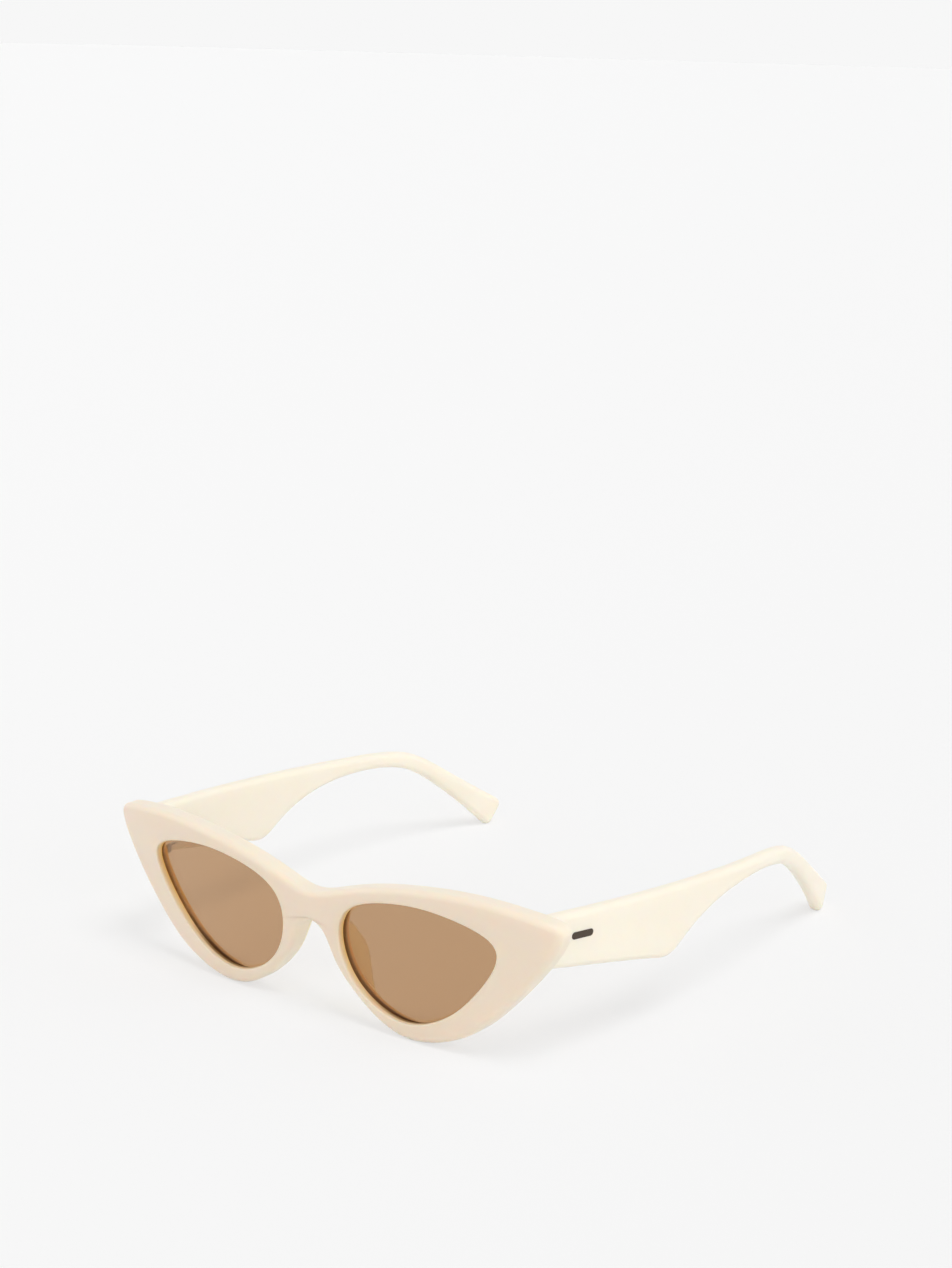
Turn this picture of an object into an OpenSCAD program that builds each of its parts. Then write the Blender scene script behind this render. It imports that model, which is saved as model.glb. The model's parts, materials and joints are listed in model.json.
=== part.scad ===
// Cat eye sunglasses: a moulded front with two tinted lenses and bonded nose pads,
// and two temples that fold on five-barrel screw hinges.
// X runs across the face (+X is the wearer's left), the front faces -Y, and Z is up from
// the table, on which the rims and the tips of the temples stand.

/* [Front] */
// Width of the front across its two pointed tips
front_w = 145; // [140:0.5:150]
// Height of the front from the foot of the rim to the brow
front_h = 42.2; // [40:0.2:45]
// Thickness of the front, from face to back
front_t = 5.6; // [5.2:0.1:6.4]
// Rounding of the front's outer edges
front_edge_r = 0.9; // [0.5:0.1:1.3]
// Rounding of the edges of the lens openings
opening_edge_r = 0.45; // [0.3:0.05:0.6]
// How far the top of the front leans forward, in degrees
front_lean = 5.8; // [4:0.1:7]
// How far the front sweeps back at its tips
front_wrap = 7.2; // [6:0.1:8.5]

/* [Lenses] */
// Width of a lens opening
lens_w = 47; // [44.5:0.5:48]
// Height of a lens opening
lens_h = 32.2; // [30:0.2:33]
// Distance between the two lens openings
lens_gap = 18.6; // [18:0.2:20]
// Height of the rim under a lens opening
rim_foot_h = 4.5; // [3.8:0.1:5.2]
// Thickness of a lens
lens_t = 2; // [1.6:0.1:2.2]
// How far the lens lies behind the face of the front
lens_depth = 2.1; // [1.8:0.1:2.4]
// Depth of the groove that holds the lens
groove_depth = 0.9; // [0.6:0.1:1.1]

/* [Nose pads] */
// How far a pad stands out from the back of the front
pad_depth = 5; // [3.5:0.5:6]
// Width of a pad where it is bonded on
pad_base_w = 2.3; // [1.8:0.1:2.6]
// How far a pad leans outwards, in degrees
pad_splay = 36; // [25:1:42]
// How far round the lens a pad reaches down, in degrees below the level of the lens's middle
pad_low = 44; // [38:1:47]
// How far round the lens a pad reaches up, in degrees above that level
pad_high = 17; // [12:1:20]
// Thickness of a pad's free edge
pad_edge_t = 1.7; // [1.3:0.1:2.1]

/* [Hinges] */
// How far the hinge pin stands in from the tip of the front
hinge_inset = 11.7; // [11.3:0.1:12.2]
// How far the middle of the hinge lies below the top of the brow
hinge_drop = 11.9; // [11.4:0.1:12.2]
// Height of the whole stack of knuckles
hinge_h = 7; // [6.4:0.1:7.4]
// Outer radius of a knuckle
knuckle_r = 1.5; // [1.3:0.05:1.6]
// Radius of the hinge screw's shank
pin_r = 0.7; // [0.6:0.05:0.8]
// Gap all round the shank and between two knuckles
hinge_gap = 0.05; // [0.03:0.01:0.07]
// Thickness of the two hinge leaves
leaf_t = 0.9; // [0.7:0.05:1.1]
// How far the leaves reach above and below the knuckles
leaf_margin = 0.15; // [0.1:0.05:0.3]
// Length of the leaf let into the front
front_leaf_l = 7.2; // [6.8:0.1:7.6]
// Length of the leaf let into the temple
temple_leaf_l = 9; // [8.5:0.25:10]
// Radius of a small leaf screw's shank
leaf_screw_r = 0.6; // [0.45:0.05:0.65]
// Length of a small leaf screw
leaf_screw_l = 2.6; // [2.2:0.1:2.8]

/* [Temples] */
// Length of a temple from the front to the end of its tip, seen from the side
temple_len = 147.9; // [142:0.5:154]
// Thickness of a temple
temple_t = 4; // [3.7:0.1:4.4]
// How far a temple's top edge stands above the middle of the hinge
temple_rise = 9; // [8.6:0.1:9.4]
// Fall of the top edge towards the ear, in degrees
temple_fall = 4.65; // [4:0.05:5.2]
// Height of the temple at the hinge
blade_h = 13.4; // [12.8:0.1:14]
// Height of the temple at the lower corner of its blade
corner_h = 18.6; // [16:0.2:20]
// How far the top edge drops where it bends down behind the ear
ear_drop = 13.2; // [11:0.2:15]
// How far the tip turns down behind the ear, in degrees
ear_bend = 34; // [28:1:40]
// Height of the slim part over the ear
stem_h = 4.5; // [4:0.1:6]
// Height of the tip's square end
tip_h = 9.4; // [8:0.2:11]
// Distance between the middles of the two temples at their widest
temple_spread = 139; // [136:0.5:142]
// Distance between the middles of the two tips
tip_spread = 116.6; // [108:0.5:124]
// Rounding of the temple's long edges
temple_edge_r = 1.1; // [0.7:0.1:1.4]
// Gap between the temple's front end and the front
temple_gap = 0.15; // [0.12:0.01:0.3]
// Length of the metal bar let into the left temple
bar_l = 7.6; // [5:0.2:10]
// Height of the metal bar
bar_h = 1.8; // [1.2:0.1:3]

/* [Hidden] */

ivory = "#EBDDC6";
pale_ivory = "#F6ECD6";
lens_brown = "#A8825E";
steel = "#B9B9B5";
dark_steel = "#6B6862";

function mix(a, b, t) = a + (b - a) * t;
function unit(v) = v / norm(v);
function flip(p) = [-p.x, p.y, p.z];

// Uniform cubic B-spline: a point and a direction at t between the inner two of four points.
function spline_point(a, b, c, d, t) =
    ((1 - t) ^ 3 * a + (3 * t ^ 3 - 6 * t ^ 2 + 4) * b
     + (-3 * t ^ 3 + 3 * t ^ 2 + 3 * t + 1) * c + t ^ 3 * d) / 6;
function spline_slope(a, b, c, d, t) =
    (-(1 - t) ^ 2 * a + (3 * t ^ 2 - 4 * t) * b + (-3 * t ^ 2 + 2 * t + 1) * c + t ^ 2 * d) / 2;
// The same on a whole list, where u = 1 is the list's second point.
function along(pts, u) =
    let (k = min(floor(u), len(pts) - 3)) spline_point(pts[k - 1], pts[k], pts[k + 1], pts[k + 2], u - k);
function slope_along(pts, u) =
    let (k = min(floor(u), len(pts) - 3)) spline_slope(pts[k - 1], pts[k], pts[k + 1], pts[k + 2], u - k);

// ---- the front's surfaces ----
// Half of the wrap comes from a gentle arc, the rest from the quicker turn near the tips.
wrap_arc_share = 0.415;
function face_y(x, z) =
    let (s = abs(x) / (front_w / 2))
    front_wrap * (wrap_arc_share * s ^ 2 + (1 - wrap_arc_share) * s ^ 4) - tan(front_lean) * z;
function back_y(x, z) = face_y(x, z) + front_t;

// Half of the outline, as shares of the half width and of the height: over the brow, round
// the tip, under the rim and up the side of the nose.
outline_shape = [[0.041, 0.783], [0.139, 0.852], [0.318, 0.942], [0.558, 0.999], [0.753, 1.006],
                 [0.969, 0.949], [1.007, 0.905], [0.995, 0.793], [0.916, 0.583], [0.748, 0.248],
                 [0.62, 0.076], [0.409, -0.039], [0.248, 0.079], [0.083, 0.358], [0.058, 0.603]];
outline_n = len(outline_shape);
// The list goes on past the middle plane at both ends, so that both halves meet smoothly.
outline_unit = concat([for (i = [1, 0]) [-outline_shape[i].x, outline_shape[i].y]], outline_shape,
                      [for (i = [1, 2]) [-outline_shape[outline_n - i].x, outline_shape[outline_n - i].y]]);
fine_steps = 12;
outline_curve = [for (i = [0 : outline_n * fine_steps]) along(outline_unit, 1.5 + i / fine_steps)];
outline_foot = min([for (p = outline_curve) p.y]);
outline_scale = [front_w / 2 / max([for (p = outline_curve) p.x]),
                 front_h / (max([for (p = outline_curve) p.y]) - outline_foot)];
outline_loop = [for (p = outline_unit) [p.x * outline_scale.x, (p.y - outline_foot) * outline_scale.y]];
outline_steps = 4;
outline_cols = outline_n * outline_steps;
function outline_u(j) = 1.5 + j / outline_steps;
function on_middle(j) = j == 0 || j == outline_cols;
function outline_at(j) =
    let (p = along(outline_loop, outline_u(j))) on_middle(j) ? [0, p.y] : p;
// The direction into the plastic, square to the outline.
function inward_at(j) =
    let (d = slope_along(outline_loop, outline_u(j)), n = unit([d.y, -d.x]))
    on_middle(j) ? [0, sign(n.y)] : n;

// ---- the lens openings ----
opening_shape = [[1.012, 0.677], [1.009, 0.899], [0.655, 1.011], [0.387, 0.998], [0.065, 0.884],
                 [-0.031, 0.611], [0.058, 0.177], [0.39, -0.068], [0.663, 0.103], [0.825, 0.314]];
opening_n = len(opening_shape);
opening_unit = [for (i = [-1 : opening_n + 2]) opening_shape[(i + opening_n) % opening_n]];
opening_curve = [for (i = [0 : opening_n * fine_steps - 1]) along(opening_unit, 1 + i / fine_steps)];
opening_low = [min([for (p = opening_curve) p.x]), min([for (p = opening_curve) p.y])];
opening_size = [max([for (p = opening_curve) p.x]), max([for (p = opening_curve) p.y])] - opening_low;
opening_loop = [for (p = opening_unit)
                [lens_gap / 2 + (p.x - opening_low.x) / opening_size.x * lens_w,
                 rim_foot_h + (p.y - opening_low.y) / opening_size.y * lens_h]];
opening_mid = [lens_gap / 2 + lens_w / 2, rim_foot_h + lens_h * 0.48];
// The opening's radius about its middle, as a table by angle that starts at start_angle.
function full_turn(a, from) =
    a < from ? full_turn(a + 360, from)
    : a >= from + 360 ? full_turn(a - 360, from)
    : a;
opening_samples = [for (i = [0 : opening_n * fine_steps - 1])
                   along(opening_loop, 1 + i / fine_steps) - opening_mid];
start_angle = atan2(opening_samples[0].y, opening_samples[0].x);
opening_once = [for (p = opening_samples) [full_turn(atan2(p.y, p.x), start_angle), norm(p)]];
opening_last = opening_once[len(opening_once) - 1];
opening_table = concat([[opening_last[0] - 360, opening_last[1]]], opening_once,
                       [for (i = [0 : 2]) [opening_once[i][0] + 360, opening_once[i][1]]]);
function opening_r(a) = lookup(full_turn(a, start_angle), opening_table);
// A point on the opening at angle a, moved out into the rim by e.
function opening_at(a, e) =
    let (r = opening_r(a), turn = (opening_r(a + 1) - opening_r(a - 1)) / 2 * 180 / PI,
         radial = [cos(a), sin(a)], across = [-sin(a), cos(a)],
         n = unit(r * radial - turn * across))
    opening_mid + r * radial + e * n;

// ---- columns round one half of the front ----
seam_steps = 3;
seam_top = outline_at(0);
seam_foot = outline_at(outline_cols);
columns = outline_cols + seam_steps;
function is_seam(j) = j > outline_cols;
function edge_at(j) = is_seam(j) ? mix(seam_foot, seam_top, (j - outline_cols) / seam_steps) : outline_at(j);
function edge_inset(j, e) = is_seam(j) ? edge_at(j) : edge_at(j) + e * inward_at(j);
column_angles = [for (j = [0 : columns - 1]) let (d = edge_at(j) - opening_mid) atan2(d.y, d.x)];

groove_front = lens_depth - 0.1;
groove_back = lens_depth + lens_t + 0.1;
groove_slope = 0.5;
arc_angles = [0, 30, 60, 90];
// One closed section of the rim: each row is one ring of points. The first value says where the
// row is measured from (0 opening, 1 outer edge, 2 between them), then come its inset and depth.
function small_arc(r, depth_sign, from) =
    [for (a = arc_angles) [0, r * (1 - sin(a)), from + depth_sign * r * (1 - cos(a))]];
opening_front_rows = small_arc(opening_edge_r, 1, 0);
groove_rows = [[0, 0, groove_front], [0, groove_depth, groove_front + groove_slope],
               [0, groove_depth, groove_back - groove_slope], [0, 0, groove_back]];
function turned(rows) = [for (i = [len(rows) - 1 : -1 : 0]) rows[i]];
opening_back_rows = turned(small_arc(opening_edge_r, -1, front_t));
back_rows = [[2, 1 / 3, front_t], [2, 2 / 3, front_t]];
function outer_arc(depth_sign, from) =
    [for (a = arc_angles) [1, front_edge_r * (1 - sin(a)), from + depth_sign * front_edge_r * (1 - cos(a))]];
outer_back_rows = outer_arc(-1, front_t);
outer_front_rows = turned(outer_arc(1, 0));
front_rows = [[2, 2 / 3, 0], [2, 1 / 3, 0]];
rim_rows = concat(opening_front_rows, groove_rows, opening_back_rows, back_rows,
                  outer_back_rows, outer_front_rows, front_rows);
function rim_point(row, j) =
    let (p = row[0] == 0 ? opening_at(column_angles[j], row[1])
             : row[0] == 1 ? edge_inset(j, row[1])
             : mix(opening_at(column_angles[j], opening_edge_r), edge_inset(j, front_edge_r), row[1]),
         q = row[0] == 0 && row[2] > 0 && row[2] < front_t ? opening_at(column_angles[j], 0) : p)
    [p.x, face_y(q.x, q.y) + row[2], p.y];

// Faces of a tube of rings, each ring with n points. Rings wrap when closed is true.
function skin(rings, n, closed = false) =
    [for (i = [0 : rings - (closed ? 1 : 2)], j = [0 : n - 1], half = [0, 1])
        let (i2 = (i + 1) % rings, j2 = (j + 1) % n)
        half == 0 ? [i * n + j, i2 * n + j, i2 * n + j2] : [i * n + j, i2 * n + j2, i * n + j2]];

function mean(pts) = [for (p = pts) 1] * pts / len(pts);
// A solid through a list of rings, each running clockwise as seen from the ring after it.
module capped_tube(rings) {
    n = len(rings[0]);
    last = (len(rings) - 1) * n;
    count = len(rings) * n;
    polyhedron(points = concat([for (r = rings, p = r) p], [mean(rings[0]), mean(rings[len(rings) - 1])]),
               faces = concat(skin(len(rings), n),
                              [for (j = [0 : n - 1]) [count, j, (j + 1) % n]],
                              [for (j = [0 : n - 1]) [count + 1, last + (j + 1) % n, last + j]]),
               convexity = 6);
}

front_outer_first = len(opening_front_rows) + len(groove_rows) + len(opening_back_rows) + len(back_rows);
front_outer_last = front_outer_first + len(outer_back_rows) + len(outer_front_rows) - 1;

module front_shell() {
    rows = len(rim_rows);
    half_points = [for (row = rim_rows, j = [0 : columns - 1]) rim_point(row, j)];
    count = len(half_points);
    // The strips on the middle plane, where the two halves meet, are left out.
    half_faces = [for (i = [0 : rows - 1], j = [0 : columns - 1], half = [0, 1])
                  let (i2 = (i + 1) % rows, j2 = (j + 1) % columns)
                  if (!(j >= outline_cols && i >= front_outer_first && i < front_outer_last))
                  half == 0 ? [i * columns + j, i2 * columns + j, i2 * columns + j2]
                            : [i * columns + j, i2 * columns + j2, i * columns + j2]];
    polyhedron(points = concat(half_points, [for (p = half_points) flip(p)]),
               faces = concat([for (f = half_faces) [f[2], f[1], f[0]]],
                              [for (f = half_faces) [for (v = f) v + count]]),
               convexity = 8);
}

// ---- hinge places, for the left side ----
hinge_x = front_w / 2 - hinge_inset;
hinge_z = front_h - hinge_drop;
temple_top = hinge_z + temple_rise;
// The temple stands outside the knuckles, so that its end meets the front when it is open.
temple_clear = 0.35;
temple_end_x = hinge_x + knuckle_r + temple_clear + temple_t / 2 - 0.05;
hinge_stand = 2.85;
hinge_y = back_y(hinge_x, hinge_z) + hinge_stand;
knuckle_count = 5;
knuckle_pitch = hinge_h / knuckle_count;
hinge_foot = hinge_z - hinge_h / 2;
leaf_h = hinge_h + 2 * leaf_margin;
leaf_fit = 0.04;
leaf_head_r = 2 * leaf_screw_r;
leaf_head_h = 0.45;

// The front's leaf lies flat in the back of the front, turned to follow the wrap and the lean.
leaf_past_knuckle = 0.35;
front_leaf_x = hinge_x - knuckle_r - leaf_past_knuckle + front_leaf_l / 2;
front_leaf_turn = atan((back_y(front_leaf_x + 1, hinge_z) - back_y(front_leaf_x - 1, hinge_z)) / 2);
front_leaf_y = back_y(front_leaf_x, hinge_z);
module on_front_back() {
    translate([front_leaf_x, front_leaf_y, hinge_z])
        rotate([0, 0, front_leaf_turn])
            rotate([front_lean, 0, 0])
                children();
}
front_screw_places = [for (s = [-1, 1]) [0.29 * front_leaf_l, s * 0.275 * leaf_h]];

// ---- temple curve, seen from above ----
bow_share = 0.44;
temple_start_y = back_y(temple_end_x, hinge_z);
temple_bow_y = temple_start_y + bow_share * temple_len;
temple_end_y = temple_start_y + temple_len;
function temple_mid_x(y) =
    let (ahead = y < temple_bow_y,
         s = ahead ? (temple_bow_y - y) / (temple_bow_y - temple_start_y)
                   : (y - temple_bow_y) / (temple_end_y - temple_bow_y))
    mix(temple_spread / 2, ahead ? temple_end_x : tip_spread / 2, s ^ 2);
function temple_heading(y) = temple_mid_x(y + 0.5) - temple_mid_x(y - 0.5);
// A point of the temple: t across its thickness, at distance y from the hinge end and height z.
function bent(t, y, z) =
    let (h = temple_heading(y), n = unit([1, -h]))
    [temple_mid_x(y) + t * n.x, y + t * n.y, z];

// ---- temple profile, seen from the side ----
// Stations from the hinge end to the tip and one beyond each end: the share of the length, the
// height of the section, and the shares of the ear's drop and of its bend.
corner_bulge = 1;
temple_stations = [
    [-0.1, mix(blade_h, corner_h, -0.3), 0, 0],
    [0, blade_h, 0, 0],
    [0.108, mix(blade_h, corner_h, 0.3), 0, 0],
    [0.21, mix(blade_h, corner_h, 0.64), 0, 0],
    [0.277, mix(blade_h, corner_h, 0.9), 0, 0],
    [0.321, corner_h + corner_bulge, 0, 0],
    [0.365, mix(corner_h, stem_h, 0.29), 0, 0],
    [0.426, mix(corner_h, stem_h, 0.62), 0, 0],
    [0.507, mix(corner_h, stem_h, 0.88), 0, 0],
    [0.602, stem_h, 0, 0],
    [0.669, stem_h, 0, 0.18],
    [0.73, mix(stem_h, tip_h, 0.07), 0.04, 0.47],
    [0.784, mix(stem_h, tip_h, 0.11), 0.22, 0.82],
    [0.847, mix(stem_h, tip_h, 0.19), 0.62, 0.94],
    [0.908, mix(stem_h, tip_h, 0.39), 1, 1.06],
    [0.955, mix(stem_h, tip_h, 0.68), 1, 1],
    [1, tip_h, 1, 1],
    [1.045, mix(stem_h, tip_h, 1.3), 1, 1]];
tip_slope = ear_bend - 2.5;
tip_corner_r = 2.4;
tip_station = 16;
function rail_y(k) = temple_start_y + temple_stations[k][0] * temple_len;
function line_z(k) =
    temple_top - tan(temple_fall) * (rail_y(k) - temple_start_y) - temple_stations[k][2] * ear_drop;
function tip_line_z(k) = tan(tip_slope) * (rail_y(tip_station) - rail_y(k));
// The last three stations set the tip's height by themselves, whatever the line before them does.
function top_rail(tip_z) =
    [for (k = [0 : len(temple_stations) - 1])
     [rail_y(k), k < tip_station - 1 ? line_z(k) : tip_z + tip_line_z(k)]];
function foot_rail(top) =
    [for (k = [0 : len(temple_stations) - 1])
     let (s = temple_stations[k], lean = s[3] * ear_bend) top[k] - s[1] * [sin(lean), cos(lean)]];

corner_arc = [0, 30, 60, 90];
// A round-cornered section: [share from foot to top, place across], drawn in millimetres.
function section(h, t, r) =
    [for (q = [[1, 1, 1], [1, -1, 0], [-1, -1, 1], [-1, 1, 0]], a = corner_arc)
        let (b = q[2] == 0 ? a : 90 - a)
        [q[0] * (t / 2 - r + r * cos(b)), q[1] * (h / 2 - r + r * sin(b))]];
// One ring of the temple at u along the rails, with the section drawn in by trim at the tip.
function temple_ring(rails, u, trim_h, trim_t) =
    let (top = along(rails[0], u), foot = along(rails[1], u), mid = (top + foot) / 2,
         up = unit(top - foot), h = norm(top - foot) - 2 * trim_h, t = temple_t - 2 * trim_t)
    [for (s = section(h, t, min(temple_edge_r, 0.4 * t)))
     bent(s[0], mid.x + s[1] * up.x, mid.y + s[1] * up.y)];
// The first ring lies just behind the back of the front.
function against_front(p) = [p.x, back_y(p.x, p.z) + temple_gap, p.z];
tip_edge_r = 1;
tip_arc = [0, 25, 50, 70, 90];
tip_unit = (rail_y(tip_station) - rail_y(tip_station - 1)) / cos(ear_bend);
function tip_rings(rails) =
    [for (a = tip_arc)
     temple_ring(rails, tip_station - tip_corner_r * (1 - sin(a)) / tip_unit,
                 tip_corner_r * (1 - cos(a)), tip_edge_r * (1 - cos(a)))];
function rails_at(tip_z) = let (top = top_rail(tip_z)) [top, foot_rail(top)];
// The tip is raised or lowered so that its lowest edge stands on the table.
tip_lowest = min([for (r = tip_rings(rails_at(0)), p = r) p.z]);
rails = rails_at(-tip_lowest);
blade_rings = [for (u = [1.3 : 0.35 : tip_station - 0.45]) temple_ring(rails, u, 0, 0)];
first_ring = [for (p = temple_ring(rails, 1.02, 0, 0)) against_front(p)];
temple_rings = concat([first_ring], blade_rings, tip_rings(rails));

// ---- temple leaf, let into the inner face of the temple ----
temple_leaf_start = 1.9;
temple_leaf_mid_y = hinge_y + temple_leaf_start + temple_leaf_l / 2;
temple_leaf_turn = atan(temple_heading(temple_leaf_mid_y));
temple_leaf_spot = bent(-temple_t / 2, temple_leaf_mid_y, hinge_z);
// Origin in the middle of the leaf's inner face, Y along the temple, X into it.
module on_temple_inside() {
    translate([temple_leaf_spot.x, temple_leaf_spot.y, hinge_z])
        rotate([0, 0, -temple_leaf_turn])
            children();
}
temple_screw_places = [-0.09 * temple_leaf_l, 0.31 * temple_leaf_l];
temple_screw_l = 2.4;

// ---- metal bar, let into the outer face of the left temple ----
bar_y = 11.8;
bar_drop = 6.9;
bar_t = 0.6;
bar_proud = 0.1;
bar_fit = 0.03;
bar_spot = bent(temple_t / 2, temple_start_y + bar_y, temple_top - bar_drop);
bar_turn = atan(temple_heading(temple_start_y + bar_y));
// Origin in the middle of the bar's place, X out of the temple, Y along it.
module on_temple_outside() {
    translate(bar_spot)
        rotate([0, 0, -bar_turn])
            rotate([-temple_fall, 0, 0])
                children();
}
module pill(l, h, t) {
    rotate([90, 0, 90])
        linear_extrude(height = t)
            union() {
                square([l - h, h], center = true);
                for (s = [-1, 1])
                    translate([s * (l - h) / 2, 0])
                        circle(d = h, $fn = 48);
            }
}

// ---- where the whole thing stands: the middle of its box is over the origin ----
front_most_y = min([for (j = [0 : outline_cols]) let (p = edge_inset(j, front_edge_r)) face_y(p.x, p.y)]);
rear_most_y = max([for (r = temple_rings, p = r) p.y]);
middle_y = (front_most_y + rear_most_y) / 2;
module standing() {
    translate([0, -middle_y, 0])
        children();
}
module right_side() {
    mirror([1, 0, 0])
        children();
}

// ---- hinge pieces ----
module screw(shank_r, length, head_r, head_h) {
    // Head up, its top at the origin.
    difference() {
        union() {
            translate([0, 0, -head_h])
                cylinder(r = head_r, h = head_h, $fn = 48);
            translate([0, 0, -length])
                cylinder(r = shank_r, h = length - head_h / 2, $fn = 48);
        }
        translate([0, 0, -head_h * 0.25])
            cube([head_r * 3, head_r * 0.35, head_h * 0.6], center = true);
    }
}
module screw_hole(shank_r, length, head_r, head_h) {
    translate([0, 0, -head_h])
        cylinder(r = head_r + leaf_fit, h = head_h + 1, $fn = 48);
    translate([0, 0, -length - leaf_fit])
        cylinder(r = shank_r, h = length + leaf_fit, $fn = 48);
}
module at_front_screws() {
    for (p = front_screw_places)
        on_front_back()
            translate([p.x, 0, p.y])
                rotate([-90, 0, 0])
                    children();
}
module at_temple_screws() {
    for (y = temple_screw_places)
        on_temple_inside()
            translate([0, y, 0])
                rotate([0, -90, 0])
                    children();
}
module front_leaf_plate(grow) {
    on_front_back()
        translate([-front_leaf_l / 2 - grow, -leaf_t, -leaf_h / 2 - grow])
            cube([front_leaf_l + 2 * grow, leaf_t + (grow > 0 ? 2 : 0), leaf_h + 2 * grow]);
}
module temple_leaf_plate(grow) {
    on_temple_inside()
        translate([-(grow > 0 ? 2 : 0), -temple_leaf_l / 2 - grow, -leaf_h / 2 - grow])
            cube([leaf_t + (grow > 0 ? 2 : 0), temple_leaf_l + 2 * grow, leaf_h + 2 * grow]);
}
function knuckle_foot(k) = hinge_foot + k * knuckle_pitch;
knuckle_h = knuckle_pitch - hinge_gap;
module knuckle_at(k) {
    translate([hinge_x, hinge_y, knuckle_foot(k)])
        linear_extrude(height = knuckle_h)
            union() {
                circle(r = knuckle_r, $fn = 64);
                children();
            }
}
pin_head_r = 1.15;
pin_head_h = 0.6;
module pin_bore() {
    translate([hinge_x, hinge_y, hinge_foot - 1])
        cylinder(r = pin_r + hinge_gap, h = hinge_h + 2, $fn = 64);
}
module pin_head_seat() {
    translate([hinge_x, hinge_y, knuckle_foot(knuckle_count - 1) + knuckle_h - pin_head_h])
        cylinder(r = pin_head_r + hinge_gap, h = pin_head_h + 1, $fn = 64);
}
// The arm of a front knuckle runs straight to the leaf, which leans with the front.
function front_reach(k, x) =
    hinge_y - back_y(hinge_x, knuckle_foot(k) + knuckle_h / 2) + leaf_t * 0.6 - x * tan(front_leaf_turn);
module front_arm(k) {
    polygon([[knuckle_r, 0], [-knuckle_r, 0], [-knuckle_r, -front_reach(k, -knuckle_r)],
             [knuckle_r, -front_reach(k, knuckle_r)]]);
}
// The arm of a temple knuckle runs back and out to the leaf in the temple.
temple_arm_l = 4.4;
module temple_arm() {
    inner = [temple_leaf_spot.x - hinge_x, temple_leaf_spot.y - hinge_y];
    heading = [sin(temple_leaf_turn), cos(temple_leaf_turn)];
    into = [cos(temple_leaf_turn), -sin(temple_leaf_turn)] * leaf_t * 0.6;
    near = inner - heading * (temple_leaf_l / 2 - 0.1);
    far = near + heading * temple_arm_l;
    polygon([[0, 0], near, near + into, far + into, far, [-knuckle_r * 0.55, knuckle_r * 0.83]]);
}

// ================= sub-parts =================
module front_leaf_seat() {
    front_leaf_plate(leaf_fit);
    at_front_screws() screw_hole(leaf_screw_r, leaf_screw_l, leaf_head_r, leaf_head_h);
}
module front_frame() {
    color(ivory)
        standing()
            difference() {
                front_shell();
                front_leaf_seat();
                right_side() front_leaf_seat();
            }
}

// A lens follows the front's curve and its bevelled edge sits in the groove.
lens_fit = 0.06;
lens_shares = [0.4, 0.75, 1];
module lens() {
    front_rings = [for (s = lens_shares) [s, -lens_fit, groove_front + lens_fit * 1.4]];
    edge_rings = [[1, groove_depth - lens_fit, groove_front + groove_slope + lens_fit],
                  [1, groove_depth - lens_fit, groove_back - groove_slope - lens_fit]];
    back_rings = [for (s = turned(lens_shares)) [s, -lens_fit, groove_back - lens_fit * 1.4]];
    rings = concat(front_rings, edge_rings, back_rings);
    capped_tube([for (r = rings)
                 [for (j = [0 : columns - 1])
                  let (edge = opening_at(column_angles[j], r[1]), p = mix(opening_mid, edge, r[0]),
                       q = r[0] < 1 ? p : opening_at(column_angles[j], 0))
                  [p.x, face_y(q.x, q.y) + r[2], p.y]]]);
}
module left_lens() { color(lens_brown, 0.6) standing() lens(); }
module right_lens() { color(lens_brown, 0.6) standing() right_side() lens(); }

// A nose pad is a slanted fin along the nose side of the rim, fullest above its middle.
pad_rings = 16;
pad_glue = 0.02;
pad_set_in = 0.45;
pad_reach = 5;
pad_end_share = 0.07;
pad_fullest_share = 0.32;
pad_taper = 2;
function pad_bulk(s) =
    sin(180 * mix(pad_end_share, 1 - pad_end_share, s ^ (ln(0.5) / ln(pad_fullest_share)))) ^ pad_taper;
// The outline's distance from the middle of the lens, by angle, along the side of the nose.
nose_columns = [for (j = [columns - 1 : -1 : round(columns * 0.6)]) j];
nose_table = [for (j = nose_columns) [full_turn(column_angles[j], 0), norm(edge_at(j) - opening_mid)]];
// From the lens opening to the line that the pad's nose side starts on.
function pad_line(a) = min(lookup(a, nose_table) - opening_r(a), pad_reach) - pad_set_in;
// One section: [inset from that line, height over the back of the front].
function pad_section(s) =
    let (p = pad_depth * pad_bulk(s), lean = tan(pad_splay), r = min(pad_edge_t / 2, p * 0.3),
         tip = [lean * (p - r) * 0.92 + r, p - r])
    [[0, 0],
     [lean * p * 0.22, p * 0.33],
     [lean * p * 0.5, p * 0.64],
     tip + r * [-0.95, -0.1],
     tip + r * [-0.6, 0.75],
     tip + r * [0, 1],
     tip + r * [0.7, 0.7],
     tip + r * [1, 0],
     [mix(pad_base_w, tip.x + r, 0.62), 0.62 * tip.y],
     [mix(pad_base_w, tip.x + r, 0.25), 0.3 * tip.y],
     [pad_base_w, 0]];
module nose_pad() {
    rings = [for (i = [0 : pad_rings - 1])
             let (s = i / (pad_rings - 1), a = 180 + mix(-pad_high, pad_low, s))
             [for (q = pad_section(s))
              let (foot = opening_at(a, pad_line(a) - q[0]))
              [foot.x, back_y(foot.x, foot.y) + pad_glue + q[1], foot.y]]];
    capped_tube(rings);
}
module left_nose_pad() { color(pale_ivory) standing() nose_pad(); }
module right_nose_pad() { color(pale_ivory) standing() right_side() nose_pad(); }

// The front's leaf carries the outer and the middle knuckles.
module front_leaf() {
    difference() {
        union() {
            front_leaf_plate(0);
            for (k = [0, 2, 4])
                knuckle_at(k) front_arm(k);
        }
        pin_bore();
        pin_head_seat();
        at_front_screws() screw_hole(leaf_screw_r + leaf_fit, leaf_screw_l, leaf_head_r, leaf_head_h);
    }
}
module left_front_leaf() { color(steel) standing() front_leaf(); }
module right_front_leaf() { color(steel) standing() right_side() front_leaf(); }

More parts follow.
